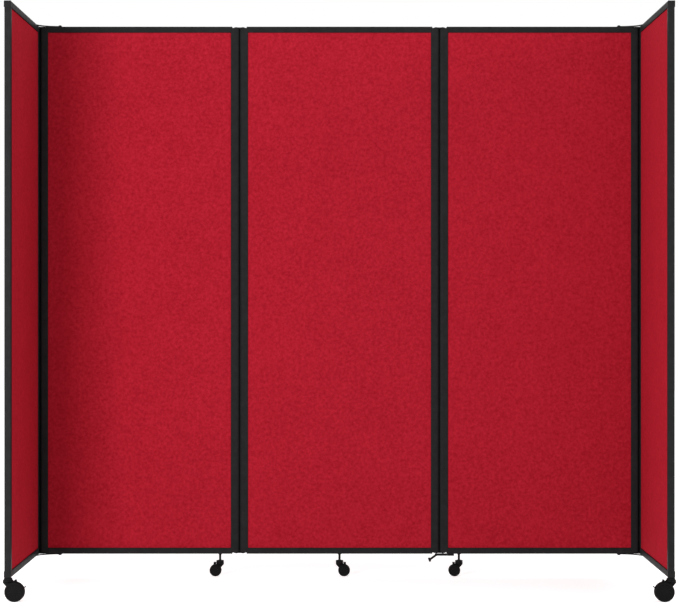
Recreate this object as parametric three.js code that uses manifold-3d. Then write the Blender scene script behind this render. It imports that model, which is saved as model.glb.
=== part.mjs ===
import * as THREE from 'three';
import { mergeVertices } from 'three/addons/utils/BufferGeometryUtils.js';
import Module from 'manifold-3d';

const wasm = await Module();
wasm.setup();

// A folding privacy screen of five equal framed boards: three stand in line and one wing is folded
// forward at each end. Lengths are millimetres, +X runs along the three boards, the wings point to -Y
// and the floor is at height zero.

// Driving dimensions
const totalHeight = 2286; // floor to the upper face of the top rails
const panelPitch = 832; // hinge line to hinge line
const boardsInLine = 3;
const floorClearance = 94; // floor to the underside of the bottom rails
const fitGap = 0.3; // between pieces that seat on or turn in each other
const cutOverrun = 2; // how far a cutting or joining solid runs past a face
const weldDistance = 0.001;

const stile = {
  depth: 24, // across the board, also twice the nose radius round the hinge pin
  reach: 21.5, // pin axis to the fabric
  shortfall: 5, // how far the nose ends inside the rail faces, above and below
  shoulder: 16.5, // pin axis to the part that is as high as the rails
  wall: 2.2,
  pinBore: 3.3,
  pinBoss: 5.7,
  sealReach: 14.6, // pin axis to the tip of the strip that shuts the gap between two noses
  sealThickness: 2.2,
};

const rail = {
  depth: 26,
  height: 24,
  wall: 2.2,
  edgeRadius: 1.2,
};

const board = {
  thickness: 18.6,
  seat: 10, // how deep the frame's groove holds it
  edgeRadius: 2.5,
};

const hinge = {
  pinSpacing: 27,
  pinRadius: 3,
  pinLength: 34,
  plateRadius: 11,
  plateThickness: 2,
  headRadius: 5,
  headHeight: 2,
  cornerPlateThickness: 4.7, // the corner plates fill the noses' shortfall and their pins have no heads
};

const cap = {
  thickness: 2.5,
  lip: 1, // how far it stands past the rail's faces
  chamfer: 3,
};

const stay = {
  boltSetback: 70.5, // hinge pin to bolt, along the rail
  width: 17,
  thickness: 3,
  bendRadius: 87, // inner edge of the bend
  tail: 35, // straight part past the bend
  spacer: 0.5,
  spacerRadius: 7,
  boltRadius: 3,
  headRadius: 6,
  headHeight: 3,
};

const lock = {
  pivotOffset: 53.5, // hinge line to the pivot, along the rail
  tipOffset: 19, // hinge line to the tip, on the other side
  pivotHeight: 88.4,
  barThickness: 7,
  barWidth: 10,
  keeperHeight: 1.8,
  keeperSetback: 3,
  keeperLength: 48,
  armLength: 32,
  armThickness: 8,
  padLength: 17,
  padThickness: 9,
  padWidth: 13,
  pinRadius: 2,
  cheekThickness: 1.5,
  bracketLength: 25,
  bracketOverhang: 7,
  armSlope: 35, // degrees below the bar
  padSlope: 24, // degrees off upright
};

// Casters: heights are above the floor, offsets are from the stem's axis towards the wheels
const smallCaster = {
  wheelRadius: 24.5,
  wheelWidth: 11.5,
  wheelSpread: 9, // between the two wheels
  trail: 19,
  treadRadius: 4,
  hubRadius: 8,
  rimInner: 17.5,
  webRecess: 2.4,
  axleRadius: 3,
  axleBoss: 9,
  bodyGap: 0.6, // body to each wheel
  bodyReach: 15.5,
  bodyCorner: 49.5,
  crownRadius: 16,
  crownUnderside: 51.5,
  crownThickness: 7,
  crownChamfer: 1.6,
  bossRadius: 7,
  bossEnd: 46.6,
  kingpinRadius: 3.2,
  kingpinEnd: 48.8,
  beadRadius: 3.8,
  beadLow: 50,
  beadHigh: 51.4,
  raceRadius: 16,
  raceThickness: 5.8,
  domeRadius: 9,
  domeHeight: 3.2,
  stemRadius: 4.75,
  nutRadius: 7.5,
  nutHeight: 3.2,
  stemEntry: 9, // how far the stem goes into the rail
  leverPivotX: 14.5,
  leverPivotZ: 46.4,
  leverBoss: 3.2,
  leverEar: 4.8,
  leverPinRadius: 1.5,
  cheekThickness: 1.4,
  slotRadius: 18.4,
  slotFrom: 30, // degrees round the axle
  slotTo: 113,
};

const largeCaster = {
  wheelRadius: 38,
  wheelWidth: 12.5,
  wheelSpread: 11,
  trail: 25,
  treadRadius: 5,
  hubRadius: 12,
  rimInner: 28,
  webRecess: 2.8,
  axleRadius: 4,
  axleBoss: 13,
  bodyGap: 0.6,
  bodyReach: 19.5,
  bodyCorner: 73,
  crownRadius: 20,
  crownUnderside: 76.8,
  crownThickness: 6.2,
  crownChamfer: 1.6,
  bossRadius: 8,
  bossEnd: 72.9,
  kingpinRadius: 4,
  kingpinEnd: 75.2,
  beadRadius: 4.7,
  beadLow: 76.6,
  beadHigh: 78.2,
  raceRadius: 17,
  raceThickness: 3.8,
  domeRadius: 9,
  domeHeight: 6,
  stemRadius: 6,
  nutRadius: 0,
  nutHeight: 0,
  stemEntry: 9,
  leverPivotX: 30,
  leverPivotZ: 74.2,
  leverBoss: 3.6,
  leverEar: 5.5,
  leverPinRadius: 1.8,
  cheekThickness: 2,
  slotRadius: 27.5,
  slotFrom: 5,
  slotTo: 93,
};

const smallLever = {
  slope: 40, // degrees, pivot to toe
  length: 11,
  armHeight: 4.6,
  toeStart: 16.8, // stem's axis to the toe
  toeEnd: 27,
  toeLow: 50.2,
  toeHigh: 58.2,
  toeWidth: 24,
  toeEdge: 1.6,
};

const largeLever = {
  arcInner: 29.5,
  arcOuter: 35.5,
  arcFrom: 22,
  arcTo: 83,
  toeAngle: 25, // degrees round the axle
  toeInner: 42.2,
  toeOuter: 46.6,
  toeThickness: 3.6,
  toeWidth: 24,
  heelX: 29,
  heelTop: 84,
  heelLength: 8,
  heelThickness: 3.4,
  heelWidth: 18,
};

const placing = {
  smallFromHinge: 81, // hinge line to caster stem on the boards in line
  largeFromEnd: 17, // free end to caster stem on a wing
};

const wheelSides = 18;
const roundSides = 12;
const nutSides = 6;
const cornerSteps = 1; // each arc of an outline is cut in twice as many pieces
const curveSteps = 4;
const noseSteps = 4;

// Worked out from the driving dimensions
const pinSpan = panelPitch - hinge.pinSpacing;
const frameHeight = totalHeight - floorClearance;
const stileHalf = stile.depth / 2;
const railHalf = rail.depth / 2;
const grooveHalf = board.thickness / 2 + fitGap;
const cornerPinX = (boardsInLine * panelPitch - hinge.pinSpacing) / 2;
const wingPinX = cornerPinX + hinge.pinSpacing;
const stayOffset = railHalf - stay.width / 2;
const cornerShoulder = stile.reach - board.seat;

const finishes = {
  frame: { color: 0x2b2c2e, roughness: 0.42, metalness: 0.6 },
  fabric: { color: 0xae1d2b, roughness: 0.95, metalness: 0 },
  steel: { color: 0x232426, roughness: 0.35, metalness: 0.8 },
  plastic: { color: 0x1b1c1d, roughness: 0.5, metalness: 0 },
  tyre: { color: 0x1e1e1f, roughness: 0.75, metalness: 0 },
};

const materials = {};
for (const [name, finish] of Object.entries(finishes)) {
  materials[name] = new THREE.MeshStandardMaterial(finish);
}

// Solids from geometry and back
function solidOf(geometry) {
  const bare = geometry.clone();
  bare.deleteAttribute('normal');
  bare.deleteAttribute('uv');
  const welded = mergeVertices(bare, weldDistance);
  const corners = welded.index.array;
  const triangles = [];
  for (let i = 0; i < corners.length; i += 3) {
    const [a, b, c] = corners.slice(i, i + 3);
    if (a !== b && b !== c && c !== a) triangles.push(a, b, c);
  }
  const vertProperties = welded.attributes.position.array;
  const triVerts = new Uint32Array(triangles);
  return new wasm.Manifold(new wasm.Mesh({ numProp: 3, vertProperties, triVerts }));
}

function geometryOf(solid) {
  const mesh = solid.getMesh();
  const geometry = new THREE.BufferGeometry();
  geometry.setAttribute('position', new THREE.BufferAttribute(mesh.vertProperties, 3));
  geometry.setIndex(new THREE.BufferAttribute(mesh.triVerts, 1));
  geometry.computeVertexNormals();
  return geometry;
}

function joined(...geometries) {
  const solids = geometries.map(solidOf);
  return geometryOf(solids.reduce((whole, next) => whole.add(next)));
}

function cutFrom(geometry, ...cutters) {
  return geometryOf(cutters.map(solidOf).reduce((rest, cutter) => rest.subtract(cutter), solidOf(geometry)));
}

// Sections run along Z, X or Y. A side outline is drawn in X and height and centred on Y zero.
function extruded(shape, length, steps = cornerSteps) {
  return new THREE.ExtrudeGeometry(shape, { depth: length, bevelEnabled: false, curveSegments: steps });
}

function alongX(shape, length) {
  const turn = new THREE.Matrix4().makeBasis(
    new THREE.Vector3(0, 1, 0),
    new THREE.Vector3(0, 0, 1),
    new THREE.Vector3(1, 0, 0),
  );
  return extruded(shape, length).applyMatrix4(turn);
}

function acrossY(shape, width, steps = cornerSteps) {
  return extruded(shape, width, steps).rotateX(Math.PI / 2).translate(0, width / 2, 0);
}

function revolved(profile, sides) {
  const points = profile.map(([radius, height]) => new THREE.Vector2(radius, height));
  return new THREE.LatheGeometry(points, sides).rotateX(Math.PI / 2);
}

function pinAlongY(radius, length) {
  return new THREE.CylinderGeometry(radius, radius, length, roundSides);
}

function pinAlongZ(radius, low, high) {
  const geometry = new THREE.CylinderGeometry(radius, radius, high - low, roundSides);
  return geometry.rotateX(Math.PI / 2).translate(0, 0, (low + high) / 2);
}

function roundedRectangle(left, low, right, high, radius) {
  const shape = new THREE.Shape();
  shape.moveTo(left + radius, low);
  shape.absarc(right - radius, low + radius, radius, -Math.PI / 2, 0, false);
  shape.absarc(right - radius, high - radius, radius, 0, Math.PI / 2, false);
  shape.absarc(left + radius, high - radius, radius, Math.PI / 2, Math.PI, false);
  shape.absarc(left + radius, low + radius, radius, Math.PI, 1.5 * Math.PI, false);
  return shape;
}

function rectanglePath(left, low, right, high) {
  const path = new THREE.Path();
  path.moveTo(left, low);
  path.lineTo(right, low);
  path.lineTo(right, high);
  path.lineTo(left, high);
  path.closePath();
  return path;
}

function circlePath(x, y, radius) {
  const path = new THREE.Path();
  path.absarc(x, y, radius, 0, 2 * Math.PI, false);
  return path;
}

// Stiles. The hinge stile's nose is centred on the pin, so that boards turn past each other. It is cut
// short for the link's plates, up to the shoulder, which a corner stile has at its groove. On a sealed
// nose a thin strip stands out, straight away from the board.
function noseChamber(side) {
  const outer = stileHalf - stile.wall;
  const web = stile.wall / 2;
  const back = stile.reach - board.seat - stile.wall;
  const chamber = new THREE.Path();
  chamber.absarc(0, 0, outer, side * Math.PI / 2, side * (Math.PI - Math.asin(web / outer)), side < 0);
  const bossTurn = Math.asin(web / stile.pinBoss);
  chamber.absarc(0, 0, stile.pinBoss, side * (Math.PI - bossTurn), side * bossTurn, side > 0);
  chamber.lineTo(back, side * web);
  chamber.lineTo(back, side * outer);
  chamber.closePath();
  return chamber;
}

function addGroove(shape) {
  shape.lineTo(stile.reach, -stileHalf);
  shape.lineTo(stile.reach, -grooveHalf);
  shape.lineTo(stile.reach - board.seat, -grooveHalf);
  shape.lineTo(stile.reach - board.seat, grooveHalf);
  shape.lineTo(stile.reach, grooveHalf);
  shape.lineTo(stile.reach, stileHalf);
}

function hingeStile(shoulder, sealed) {
  const shape = new THREE.Shape();
  if (sealed) {
    const half = stile.sealThickness / 2;
    const turn = Math.asin(half / stileHalf);
    shape.absarc(0, 0, stileHalf, Math.PI / 2, Math.PI - turn, false);
    shape.lineTo(-stile.sealReach, half);
    shape.lineTo(-stile.sealReach, -half);
    shape.absarc(0, 0, stileHalf, Math.PI + turn, 1.5 * Math.PI, false);
  } else {
    shape.absarc(0, 0, stileHalf, Math.PI / 2, 1.5 * Math.PI, false);
  }
  addGroove(shape);
  shape.closePath();
  shape.holes.push(circlePath(0, 0, stile.pinBore), noseChamber(1), noseChamber(-1));
  const whole = extruded(shape, frameHeight, noseSteps).translate(0, 0, floorClearance);
  const noseEnd = -stile.sealReach - cutOverrun;
  const cut = new THREE.BoxGeometry(shoulder - noseEnd, stile.depth + cutOverrun, 2 * stile.shortfall);
  cut.translate((shoulder + noseEnd) / 2, 0, floorClearance);
  return cutFrom(whole, cut, cut.clone().translate(0, 0, frameHeight));
}

function freeStile() {
  const shape = new THREE.Shape();
  const corner = stileHalf - rail.edgeRadius;
  shape.absarc(-corner, corner, rail.edgeRadius, Math.PI / 2, Math.PI, false);
  shape.absarc(-corner, -corner, rail.edgeRadius, Math.PI, 1.5 * Math.PI, false);
  addGroove(shape);
  shape.closePath();
  const inner = stileHalf - stile.wall;
  shape.holes.push(rectanglePath(-inner, -inner, stile.reach - board.seat - stile.wall, inner));
  const low = floorClearance + rail.height + fitGap;
  return extruded(shape, frameHeight - 2 * (rail.height + fitGap)).translate(0, 0, low);
}

// Rails. The section is drawn for a bottom rail, its groove open upwards.
function railSection() {
  const corner = railHalf - rail.edgeRadius;
  const grooveFloor = rail.height - board.seat;
  const shape = new THREE.Shape();
  shape.absarc(-corner, rail.edgeRadius, rail.edgeRadius, Math.PI, 1.5 * Math.PI, false);
  shape.absarc(corner, rail.edgeRadius, rail.edgeRadius, 1.5 * Math.PI, 2 * Math.PI, false);
  shape.lineTo(railHalf, rail.height);
  shape.lineTo(grooveHalf, rail.height);
  shape.lineTo(grooveHalf, grooveFloor);
  shape.lineTo(-grooveHalf, grooveFloor);
  shape.lineTo(-grooveHalf, rail.height);
  shape.lineTo(-railHalf, rail.height);
  shape.closePath();
  const inner = railHalf - rail.wall;
  shape.holes.push(rectanglePath(-inner, rail.wall, inner, grooveFloor - rail.wall));
  return shape;
}

function stayBolt() {
  const plateTop = stay.spacer + 2 * fitGap + stay.thickness;
  const headTop = plateTop + fitGap + stay.headHeight;
  const crown = stay.headHeight / 3;
  return revolved([
    [0, -rail.wall / 2],
    [stay.spacerRadius, -rail.wall / 2],
    [stay.spacerRadius, stay.spacer],
    [stay.boltRadius, stay.spacer],
    [stay.boltRadius, plateTop + fitGap],
    [stay.headRadius, plateTop + fitGap],
    [stay.headRadius, headTop - crown],
    [stay.headRadius - crown, headTop],
    [0, headTop],
  ], roundSides);
}

// from and to are along the board, capAt is the side of a free end, boltAt a stay bolt's place
function railBar({ from, to, capAt, boltAt }) {
  const low = capAt === -1 ? from + cap.thickness / 2 : from;
  const high = capAt === 1 ? to - cap.thickness / 2 : to;
  let geometry = alongX(railSection(), high - low).translate(low, 0, 0);
  if (capAt) {
    const end = capAt > 0 ? to - cap.thickness : from;
    geometry = joined(geometry, railCap().translate(end, 0, 0));
  }
  if (boltAt !== undefined) {
    const bolt = stayBolt().rotateX(Math.PI).translate(boltAt, stayOffset, 0);
    geometry = joined(geometry, bolt);
  }
  return geometry;
}

function bottomRail({ stemAt, caster, ...run }) {
  const hole = pinAlongZ(caster.stemRadius + fitGap, -cutOverrun, rail.wall + cutOverrun);
  return cutFrom(railBar(run), hole.translate(stemAt, 0, 0)).translate(0, 0, floorClearance);
}

function topRail({ from, to, capAt, boltAt }) {
  const run = { from: -to, to: -from, capAt: -capAt, boltAt: boltAt && -boltAt };
  return railBar(run).rotateY(Math.PI).translate(0, 0, totalHeight);
}

// The cap that closes a wing rail's free end, drawn for a bottom rail and facing +X from its inner face
function railCap() {
  const half = railHalf + cap.lip;
  const top = rail.height;
  const face = new THREE.Shape();
  face.moveTo(-half, cap.chamfer);
  face.lineTo(-half + cap.chamfer, -cap.lip);
  face.lineTo(half - cap.chamfer, -cap.lip);
  face.lineTo(half, cap.chamfer);
  face.lineTo(half, top);
  face.lineTo(-half, top);
  face.closePath();
  return alongX(face, cap.thickness);
}

function fabricBoard() {
  const halfWidth = pinSpan / 2 - stile.reach + board.seat - fitGap;
  const halfThickness = board.thickness / 2;
  const edge = board.edgeRadius;
  const section = roundedRectangle(-halfWidth, -halfThickness, halfWidth, halfThickness, edge);
  const low = floorClearance + rail.height - board.seat + fitGap;
  const high = totalHeight - rail.height + board.seat - fitGap;
  return extruded(section, high - low).translate(0, 0, low);
}

// A hinge link's end is a plate and two pins, drawn for the top with the plate's underside at zero
function headedPin() {
  const shoulder = hinge.headHeight / 3;
  return revolved([
    [0, -hinge.pinLength],
    [hinge.pinRadius, -hinge.pinLength],
    [hinge.pinRadius, hinge.plateThickness / 2],
    [hinge.headRadius, hinge.plateThickness / 2],
    [hinge.headRadius, hinge.plateThickness + hinge.headHeight - shoulder],
    [hinge.headRadius - shoulder, hinge.plateThickness + hinge.headHeight],
    [0, hinge.plateThickness + hinge.headHeight],
  ], roundSides);
}

function flushPin() {
  return pinAlongZ(hinge.pinRadius, -hinge.pinLength, hinge.cornerPlateThickness / 2);
}

function linkEnd(plateThickness, makePin) {
  const half = hinge.pinSpacing / 2;
  const shape = new THREE.Shape();
  shape.absarc(half, 0, hinge.plateRadius, -Math.PI / 2, Math.PI / 2, false);
  shape.absarc(-half, 0, hinge.plateRadius, Math.PI / 2, 1.5 * Math.PI, false);
  shape.closePath();
  return joined(
    extruded(shape, plateThickness, curveSteps),
    makePin().translate(-half, 0, 0),
    makePin().translate(half, 0, 0),
  );
}

// Corner stay, drawn for the left corner with its bolt at the origin: it bends from -X round to -Y
function cornerStay() {
  const half = stay.width / 2;
  const lead = leadOfStay();
  const centreY = -(stay.bendRadius + half);
  const outer = stay.bendRadius + stay.width;
  const middle = stay.bendRadius + half;
  const shape = new THREE.Shape();
  shape.absarc(0, 0, half, -Math.PI / 2, Math.PI / 2, false);
  shape.absarc(-lead, centreY, outer, Math.PI / 2, Math.PI, false);
  shape.absarc(-lead - middle, centreY - stay.tail, half, Math.PI, 2 * Math.PI, false);
  shape.absarc(-lead, centreY, stay.bendRadius, Math.PI, Math.PI / 2, true);
  shape.closePath();
  shape.holes.push(circlePath(0, 0, stay.boltRadius + fitGap));
  return extruded(shape, stay.thickness, curveSteps);
}

// Bolt to the start of the bend, so that the tail lies over the outer side of the wing's rail
function leadOfStay() {
  const outerFace = wingPinX + railHalf;
  const boltX = cornerPinX - stay.boltSetback;
  return outerFace - (stay.bendRadius + stay.width) - boltX;
}

// Foot lock under the right hinge, drawn with the hinge line at X zero
function lockBracket() {
  const inner = lock.barWidth / 2 + fitGap;
  const outer = inner + lock.cheekThickness;
  const low = lock.pivotHeight - lock.barThickness / 2;
  const high = floorClearance - fitGap;
  const web = high - (lock.pivotHeight + lock.barThickness / 2 + fitGap);
  const channel = new THREE.Shape();
  channel.moveTo(-outer, low);
  channel.lineTo(-inner, low);
  channel.lineTo(-inner, high - web);
  channel.lineTo(inner, high - web);
  channel.lineTo(inner, low);
  channel.lineTo(outer, low);
  channel.lineTo(outer, high);
  channel.lineTo(-outer, high);
  channel.closePath();
  const right = lock.pivotOffset + lock.bracketOverhang;
  const body = alongX(channel, lock.bracketLength).translate(right - lock.bracketLength, 0, 0);
  const pin = pinAlongY(lock.pinRadius, 2 * outer).translate(lock.pivotOffset, 0, lock.pivotHeight);
  return joined(body, pin);
}

function lockPedal() {
  const half = lock.barThickness / 2;
  const low = lock.pivotHeight - half;
  const high = lock.pivotHeight + half;
  const slope = THREE.MathUtils.degToRad(lock.armSlope);
  const keeperTop = high + lock.keeperHeight;
  const keeperLeft = -lock.tipOffset + lock.keeperSetback;
  const bar = new THREE.Shape();
  bar.absarc(lock.pivotOffset, lock.pivotHeight, half, -Math.PI / 2, Math.PI / 2, false);
  bar.lineTo(keeperLeft + lock.keeperLength, high);
  bar.lineTo(keeperLeft + lock.keeperLength - lock.keeperHeight, keeperTop);
  bar.lineTo(keeperLeft, keeperTop);
  bar.lineTo(-lock.tipOffset, high);
  bar.lineTo(-lock.tipOffset, low);
  bar.closePath();
  bar.holes.push(circlePath(lock.pivotOffset, lock.pivotHeight, lock.pinRadius + fitGap));

  const armHalf = lock.armThickness / 2;
  const arm = roundedRectangle(-lock.armLength, -armHalf, half, armHalf, armHalf / 2);
  const armX = -lock.tipOffset + armHalf;
  const armZ = high - armHalf * Math.cos(slope) - half * Math.sin(slope);
  const padHalf = lock.padLength / 2;
  const padEdge = lock.padThickness / 2;
  const pad = roundedRectangle(-padEdge, -padHalf, padEdge, padHalf, padEdge / 2);
  const padX = armX - lock.armLength * Math.cos(slope);
  const padZ = armZ - lock.armLength * Math.sin(slope);
  return joined(
    acrossY(bar, lock.barWidth, curveSteps),
    acrossY(arm, lock.barWidth).rotateY(-slope).translate(armX, 0, armZ),
    acrossY(pad, lock.padWidth)
      .rotateY(-THREE.MathUtils.degToRad(lock.padSlope))
      .translate(padX, 0, padZ),
  );
}

// Caster pieces, drawn with the stem's axis at the origin and the wheels trailing to +X
function casterHeights(caster) {
  const crownTop = caster.crownUnderside + caster.crownThickness;
  const raceUnder = crownTop + fitGap;
  return { crownTop, raceUnder, headTop: raceUnder + caster.raceThickness + caster.domeHeight };
}

// The kingpin's beaded end from its tip up, or with a gap added, the socket that it snaps into
function kingpinProfile(caster, gap) {
  const { kingpinRadius: pin, beadRadius: bead } = caster;
  return [
    [0, caster.kingpinEnd - gap],
    [pin + gap, caster.kingpinEnd - gap],
    [pin + gap, caster.beadLow - gap],
    [bead + gap, caster.beadLow - gap],
    [bead + gap, caster.beadHigh + gap],
    [pin + gap, caster.beadHigh + gap],
  ];
}

function casterStem(caster) {
  const { raceUnder, headTop } = casterHeights(caster);
  const top = floorClearance + caster.stemEntry;
  const chamfer = caster.stemRadius / 4;
  const stem = revolved([
    ...kingpinProfile(caster, 0),
    [caster.kingpinRadius, raceUnder],
    [caster.raceRadius - caster.crownChamfer, raceUnder],
    [caster.raceRadius, raceUnder + caster.crownChamfer],
    [caster.raceRadius, raceUnder + caster.raceThickness],
    [caster.domeRadius, headTop],
    [caster.stemRadius, headTop],
    [caster.stemRadius, top - chamfer],
    [caster.stemRadius - chamfer, top],
    [0, top],
  ], roundSides);
  if (!caster.nutHeight) return stem;
  const nut = new THREE.CylinderGeometry(caster.nutRadius, caster.nutRadius, caster.nutHeight, nutSides);
  const nutTop = floorClearance - fitGap;
  return joined(stem, nut.rotateX(Math.PI / 2).translate(0, 0, nutTop - caster.nutHeight / 2));
}

// Which way a line from a point meets a circle that it passes on the left
function touchAngle(x, z, centreX, centreZ, radius) {
  const distance = Math.hypot(x - centreX, z - centreZ);
  return Math.atan2(z - centreZ, x - centreX) + Math.acos(radius / distance);
}

// The body's side outline runs from the crown's front corner round the axle and the lever's pin
function bodyOutline(caster) {
  const { crownTop } = casterHeights(caster);
  const top = crownTop - caster.crownThickness / 2;
  const { trail, wheelRadius, axleBoss, leverPivotX, leverPivotZ, leverEar, bodyReach, bodyCorner } = caster;
  const acrossX = leverPivotX - trail;
  const acrossZ = leverPivotZ - wheelRadius;
  const spread = Math.acos((axleBoss - leverEar) / Math.hypot(acrossX, acrossZ));
  const into = touchAngle(-bodyReach, bodyCorner, trail, wheelRadius, axleBoss);
  const out = Math.atan2(acrossZ, acrossX) - spread;
  const shape = new THREE.Shape();
  shape.moveTo(-bodyReach, top);
  shape.lineTo(-bodyReach, bodyCorner);
  shape.absarc(trail, wheelRadius, axleBoss, into, out + 2 * Math.PI, false);
  shape.absarc(leverPivotX, leverPivotZ, leverEar, out, Math.PI / 2, false);
  shape.lineTo(bodyReach, top);
  shape.closePath();
  return shape;
}

// A band round the axle, from inner to outer radius and between two angles in degrees
function axleBand(caster, inner, outer, from, to) {
  const shape = new THREE.Shape();
  const [start, stop] = [from, to].map(THREE.MathUtils.degToRad);
  shape.absarc(caster.trail, caster.wheelRadius, outer, start, stop, false);
  shape.absarc(caster.trail, caster.wheelRadius, inner, stop, start, true);
  shape.closePath();
  return shape;
}

function bodyWidth(caster) {
  return caster.wheelSpread - 2 * caster.bodyGap;
}

function casterBody(caster) {
  const { crownTop } = casterHeights(caster);
  const { trail, wheelRadius, crownRadius, crownUnderside, crownChamfer } = caster;
  const width = bodyWidth(caster);
  const slotOuter = caster.leverPivotZ;
  const slotOutline = axleBand(caster, caster.slotRadius, slotOuter, caster.slotFrom, caster.slotTo);
  const slot = acrossY(slotOutline, width - 2 * caster.cheekThickness, curveSteps);
  const crown = revolved([
    [0, caster.bossEnd],
    [caster.bossRadius, caster.bossEnd],
    [caster.bossRadius, crownUnderside],
    [crownRadius - crownChamfer, crownUnderside],
    [crownRadius, crownUnderside + crownChamfer],
    [crownRadius, crownTop - crownChamfer],
    [crownRadius - crownChamfer, crownTop],
    [0, crownTop],
  ], roundSides);
  const body = joined(cutFrom(acrossY(bodyOutline(caster), width, curveSteps), slot), crown);
  const socket = revolved([
    ...kingpinProfile(caster, fitGap),
    [caster.kingpinRadius + fitGap, crownTop + cutOverrun],
    [0, crownTop + cutOverrun],
  ], roundSides);
  const leverBore = pinAlongY(caster.leverPinRadius + fitGap, width + 2 * cutOverrun);
  const axleBore = pinAlongY(caster.axleRadius + fitGap, width + 2 * cutOverrun);
  return cutFrom(
    body,
    socket,
    leverBore.translate(caster.leverPivotX, 0, caster.leverPivotZ),
    axleBore.translate(trail, 0, wheelRadius),
  );
}

// Two wheels fast on one axle. The profile is radius and distance along the axle.
function casterWheels(caster) {
  const { webRecess, treadRadius: tread, rimInner, hubRadius, axleRadius } = caster;
  const treadEdge = caster.wheelRadius - tread;
  const web = webRecess / 2;
  const inner = caster.wheelSpread / 2;
  const outer = inner + caster.wheelWidth;
  const profile = new THREE.Path();
  profile.moveTo(0, -outer);
  profile.lineTo(hubRadius, -outer);
  profile.lineTo(hubRadius + web, web - outer);
  profile.lineTo(rimInner - web, web - outer);
  profile.lineTo(rimInner, -outer);
  profile.absarc(treadEdge, tread - outer, tread, -Math.PI / 2, 0, false);
  profile.absarc(treadEdge, -inner - tread, tread, 0, Math.PI / 2, false);
  profile.lineTo(axleRadius, -inner);
  profile.lineTo(axleRadius, inner);
  profile.absarc(treadEdge, inner + tread, tread, -Math.PI / 2, 0, false);
  profile.absarc(treadEdge, outer - tread, tread, 0, Math.PI / 2, false);
  profile.lineTo(rimInner, outer);
  profile.lineTo(rimInner - web, outer - web);
  profile.lineTo(hubRadius + web, outer - web);
  profile.lineTo(hubRadius, outer);
  profile.lineTo(0, outer);
  const wheels = new THREE.LatheGeometry(profile.getPoints(cornerSteps), wheelSides);
  return wheels.translate(caster.trail, 0, caster.wheelRadius);
}

function leverWidth(caster) {
  return bodyWidth(caster) - 2 * (caster.cheekThickness + fitGap);
}

function leverHub(caster) {
  const { leverPivotX: x, leverPivotZ: z } = caster;
  const pin = pinAlongY(caster.leverPinRadius, bodyWidth(caster));
  return joined(pinAlongY(caster.leverBoss, leverWidth(caster)), pin).translate(x, 0, z);
}

function smallBrakeLever(caster) {
  const slope = THREE.MathUtils.degToRad(smallLever.slope);
  const half = smallLever.armHeight / 2;
  const arm = acrossY(roundedRectangle(0, -half, smallLever.length, half, half / 2), leverWidth(caster));
  const { toeStart, toeEnd, toeLow, toeHigh, toeEdge, toeWidth } = smallLever;
  return joined(
    leverHub(caster),
    arm.rotateY(-slope).translate(caster.leverPivotX, 0, caster.leverPivotZ),
    acrossY(roundedRectangle(toeStart, toeLow, toeEnd, toeHigh, toeEdge), toeWidth),
  );
}

// The large lever curves between the wheels; its toe presses it on and its heel lets it off
function largeBrakeLever(caster) {
  const { arcInner, arcOuter, arcFrom, arcTo, toeOuter, toeInner } = largeLever;
  const width = leverWidth(caster);
  const half = largeLever.toeThickness / 2;
  const atToe = (geometry) => geometry
    .rotateY(-THREE.MathUtils.degToRad(largeLever.toeAngle))
    .translate(caster.trail, 0, caster.wheelRadius);
  const heelLow = largeLever.heelTop - largeLever.heelThickness;
  const heelLeft = largeLever.heelX - largeLever.heelLength / 2;
  const neck = new THREE.Shape();
  neck.moveTo(caster.leverPivotX - caster.leverBoss, caster.leverPivotZ);
  neck.lineTo(caster.leverPivotX + caster.leverBoss, caster.leverPivotZ);
  neck.lineTo(heelLeft + largeLever.heelLength, heelLow + half);
  neck.lineTo(heelLeft, heelLow + half);
  neck.closePath();
  const heelEdge = largeLever.heelThickness / 3;
  const heelRight = heelLeft + largeLever.heelLength;
  const heel = roundedRectangle(heelLeft, heelLow, heelRight, largeLever.heelTop, heelEdge);
  return joined(
    leverHub(caster),
    acrossY(axleBand(caster, arcInner, arcOuter, arcFrom, arcTo), width, curveSteps),
    atToe(acrossY(roundedRectangle(arcInner + half, -half, toeOuter, half, half / 2), width)),
    atToe(acrossY(roundedRectangle(toeInner, -half, toeOuter, half, half / 2), largeLever.toeWidth)),
    acrossY(neck, width),
    acrossY(heel, largeLever.heelWidth),
  );
}

// Assembly
function addPiece(group, name, geometry, material) {
  const mesh = new THREE.Mesh(geometry, materials[material]);
  mesh.name = name;
  group.add(mesh);
  return mesh;
}

function addCaster(group, name, caster, x, heading) {
  const place = new THREE.Group();
  place.position.set(x, 0, 0);
  place.rotation.z = THREE.MathUtils.degToRad(heading);
  const lever = caster === smallCaster ? smallBrakeLever(caster) : largeBrakeLever(caster);
  addPiece(place, `${name}_caster_stem`, casterStem(caster), 'steel');
  addPiece(place, `${name}_caster_body`, casterBody(caster), 'plastic');
  addPiece(place, `${name}_caster_wheels`, casterWheels(caster), 'tyre');
  addPiece(place, `${name}_caster_lever`, lever, 'plastic');
  group.add(place);
}

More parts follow.
